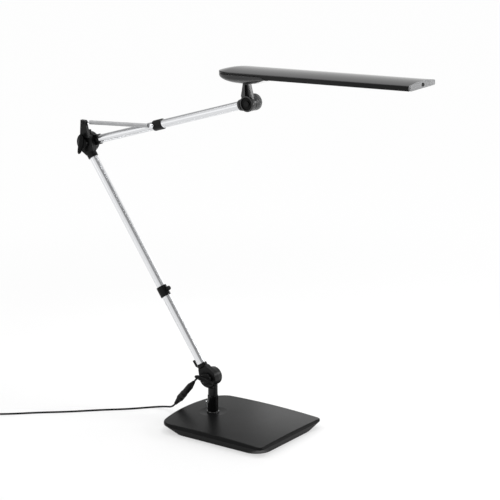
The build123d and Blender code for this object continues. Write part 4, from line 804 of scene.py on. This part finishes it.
# Pale floor: it gives its own light to rays that see it directly, more of it further from the lamp
def combined(made, links, operation, first, second):
    node = made.new("ShaderNodeMath")
    node.operation = operation
    links.new(first, node.inputs[0])
    links.new(second, node.inputs[1])
    return node.outputs[0]


def seen_directly(made, links, path):
    rays = combined(made, links, "MAXIMUM", path.outputs["Is Camera Ray"], path.outputs["Is Glossy Ray"])
    return combined(made, links, "MAXIMUM", rays, path.outputs["Is Transmission Ray"])


FLOOR_HALF = 12
FLOOR_NEAR_FAR = (0.35, 1.4)
FLOOR_OWN_LIGHT = (0.55, 0.97)

floor_mesh = bpy.data.meshes.new("table_top")
form = bmesh.new()
bmesh.ops.create_grid(form, x_segments=2, y_segments=2, size=FLOOR_HALF)
form.to_mesh(floor_mesh)
form.free()
floor = bpy.data.objects.new("table_top", floor_mesh)
scene.collection.objects.link(floor)
floor_paint, made, links, shader = new_finish("pale_floor")
shader.inputs["Base Color"].default_value = (0.94, 0.94, 0.94, 1)
shader.inputs["Roughness"].default_value = 0.9
shader.inputs["Specular IOR Level"].default_value = 0.0
glow = made.new("ShaderNodeEmission")
mix = made.new("ShaderNodeMixShader")
place = made.new("ShaderNodeTexCoord")
away = made.new("ShaderNodeVectorMath")
away.operation = "LENGTH"
links.new(place.outputs["Object"], away.inputs[0])
own_light = ranged(made, links, away.outputs["Value"], FLOOR_NEAR_FAR, FLOOR_OWN_LIGHT, "SMOOTHSTEP")
seen = seen_directly(made, links, made.new("ShaderNodeLightPath"))
links.new(combined(made, links, "MULTIPLY", seen, own_light), mix.inputs["Fac"])
links.new(shader.outputs["BSDF"], mix.inputs[1])
links.new(glow.outputs["Emission"], mix.inputs[2])
links.new(mix.outputs["Shader"], made["Material Output"].inputs["Surface"])
floor_mesh.materials.append(floor_paint)

# Studio: white all round, with one darker panel high on the right and one on the left
STUDIO_LEVELS = (0.75, 0.9)

world = bpy.data.worlds.new("studio")
scene.world = world
world.use_nodes = True
made, links = world.node_tree.nodes, world.node_tree.links
where = made.new("ShaderNodeTexCoord")


def dark_panel(middle, inner, outer, level):
    facing = made.new("ShaderNodeVectorMath")
    facing.operation = "DOT_PRODUCT"
    facing.inputs[1].default_value = Vector(middle).normalized()
    links.new(where.outputs["Generated"], facing.inputs[0])
    edges = (math.cos(math.radians(outer)), math.cos(math.radians(inner)))
    return ranged(made, links, facing.outputs["Value"], edges, (1.0, level), "SMOOTHSTEP")


path = made.new("ShaderNodeLightPath")
right_panel = dark_panel((0.76, -0.08, 0.65), 24, 52, 0.3)
left_panel = dark_panel((-0.9, 0.2, 0.4), 12, 34, 0.45)
panels = combined(made, links, "MULTIPLY", right_panel, left_panel)
level = ranged(made, links, seen_directly(made, links, path), (0, 1), STUDIO_LEVELS)
lit = combined(made, links, "MULTIPLY", panels, level)
whole = combined(made, links, "MAXIMUM", lit, path.outputs["Is Camera Ray"])
links.new(whole, made["Background"].inputs["Strength"])
made["Background"].inputs["Color"].default_value = (1, 1, 1, 1)


def softbox(name, place, aim, size, power):
    data = bpy.data.lights.new(name, "AREA")
    data.shape = "RECTANGLE"
    data.size, data.size_y = size
    data.energy = power
    lamp = bpy.data.objects.new(name, data)
    lamp.location = place
    lamp.rotation_euler = (Vector(aim) - Vector(place)).to_track_quat("-Z", "Y").to_euler()
    lamp.visible_camera = False
    scene.collection.objects.link(lamp)


softbox("overhead", (0.5, 0.3, 2.2), (0.1, 0, 0.2), (0.9, 0.9), 17)
softbox("front_top", (-1.0, -0.6, 1.9), (-0.05, 0, 0.4), (0.7, 0.7), 8)
softbox("right_side", (1.5, 0.6, 0.5), (0.1, 0, 0.25), (0.35, 0.7), 10)
softbox("front_left", (-1.55, -1.75, 0.45), (-0.1, 0, 0.5), (1.2, 1.2), 1.8)
softbox("back_right", (1.05, 1.3, 0.75), (0, 0, 0.4), (0.42, 0.42), 3.0)
softbox("back_edge", (-0.16, 0.62, 0.24), (0.14, 0, 0.03), (0.3, 0.2), 0.34)
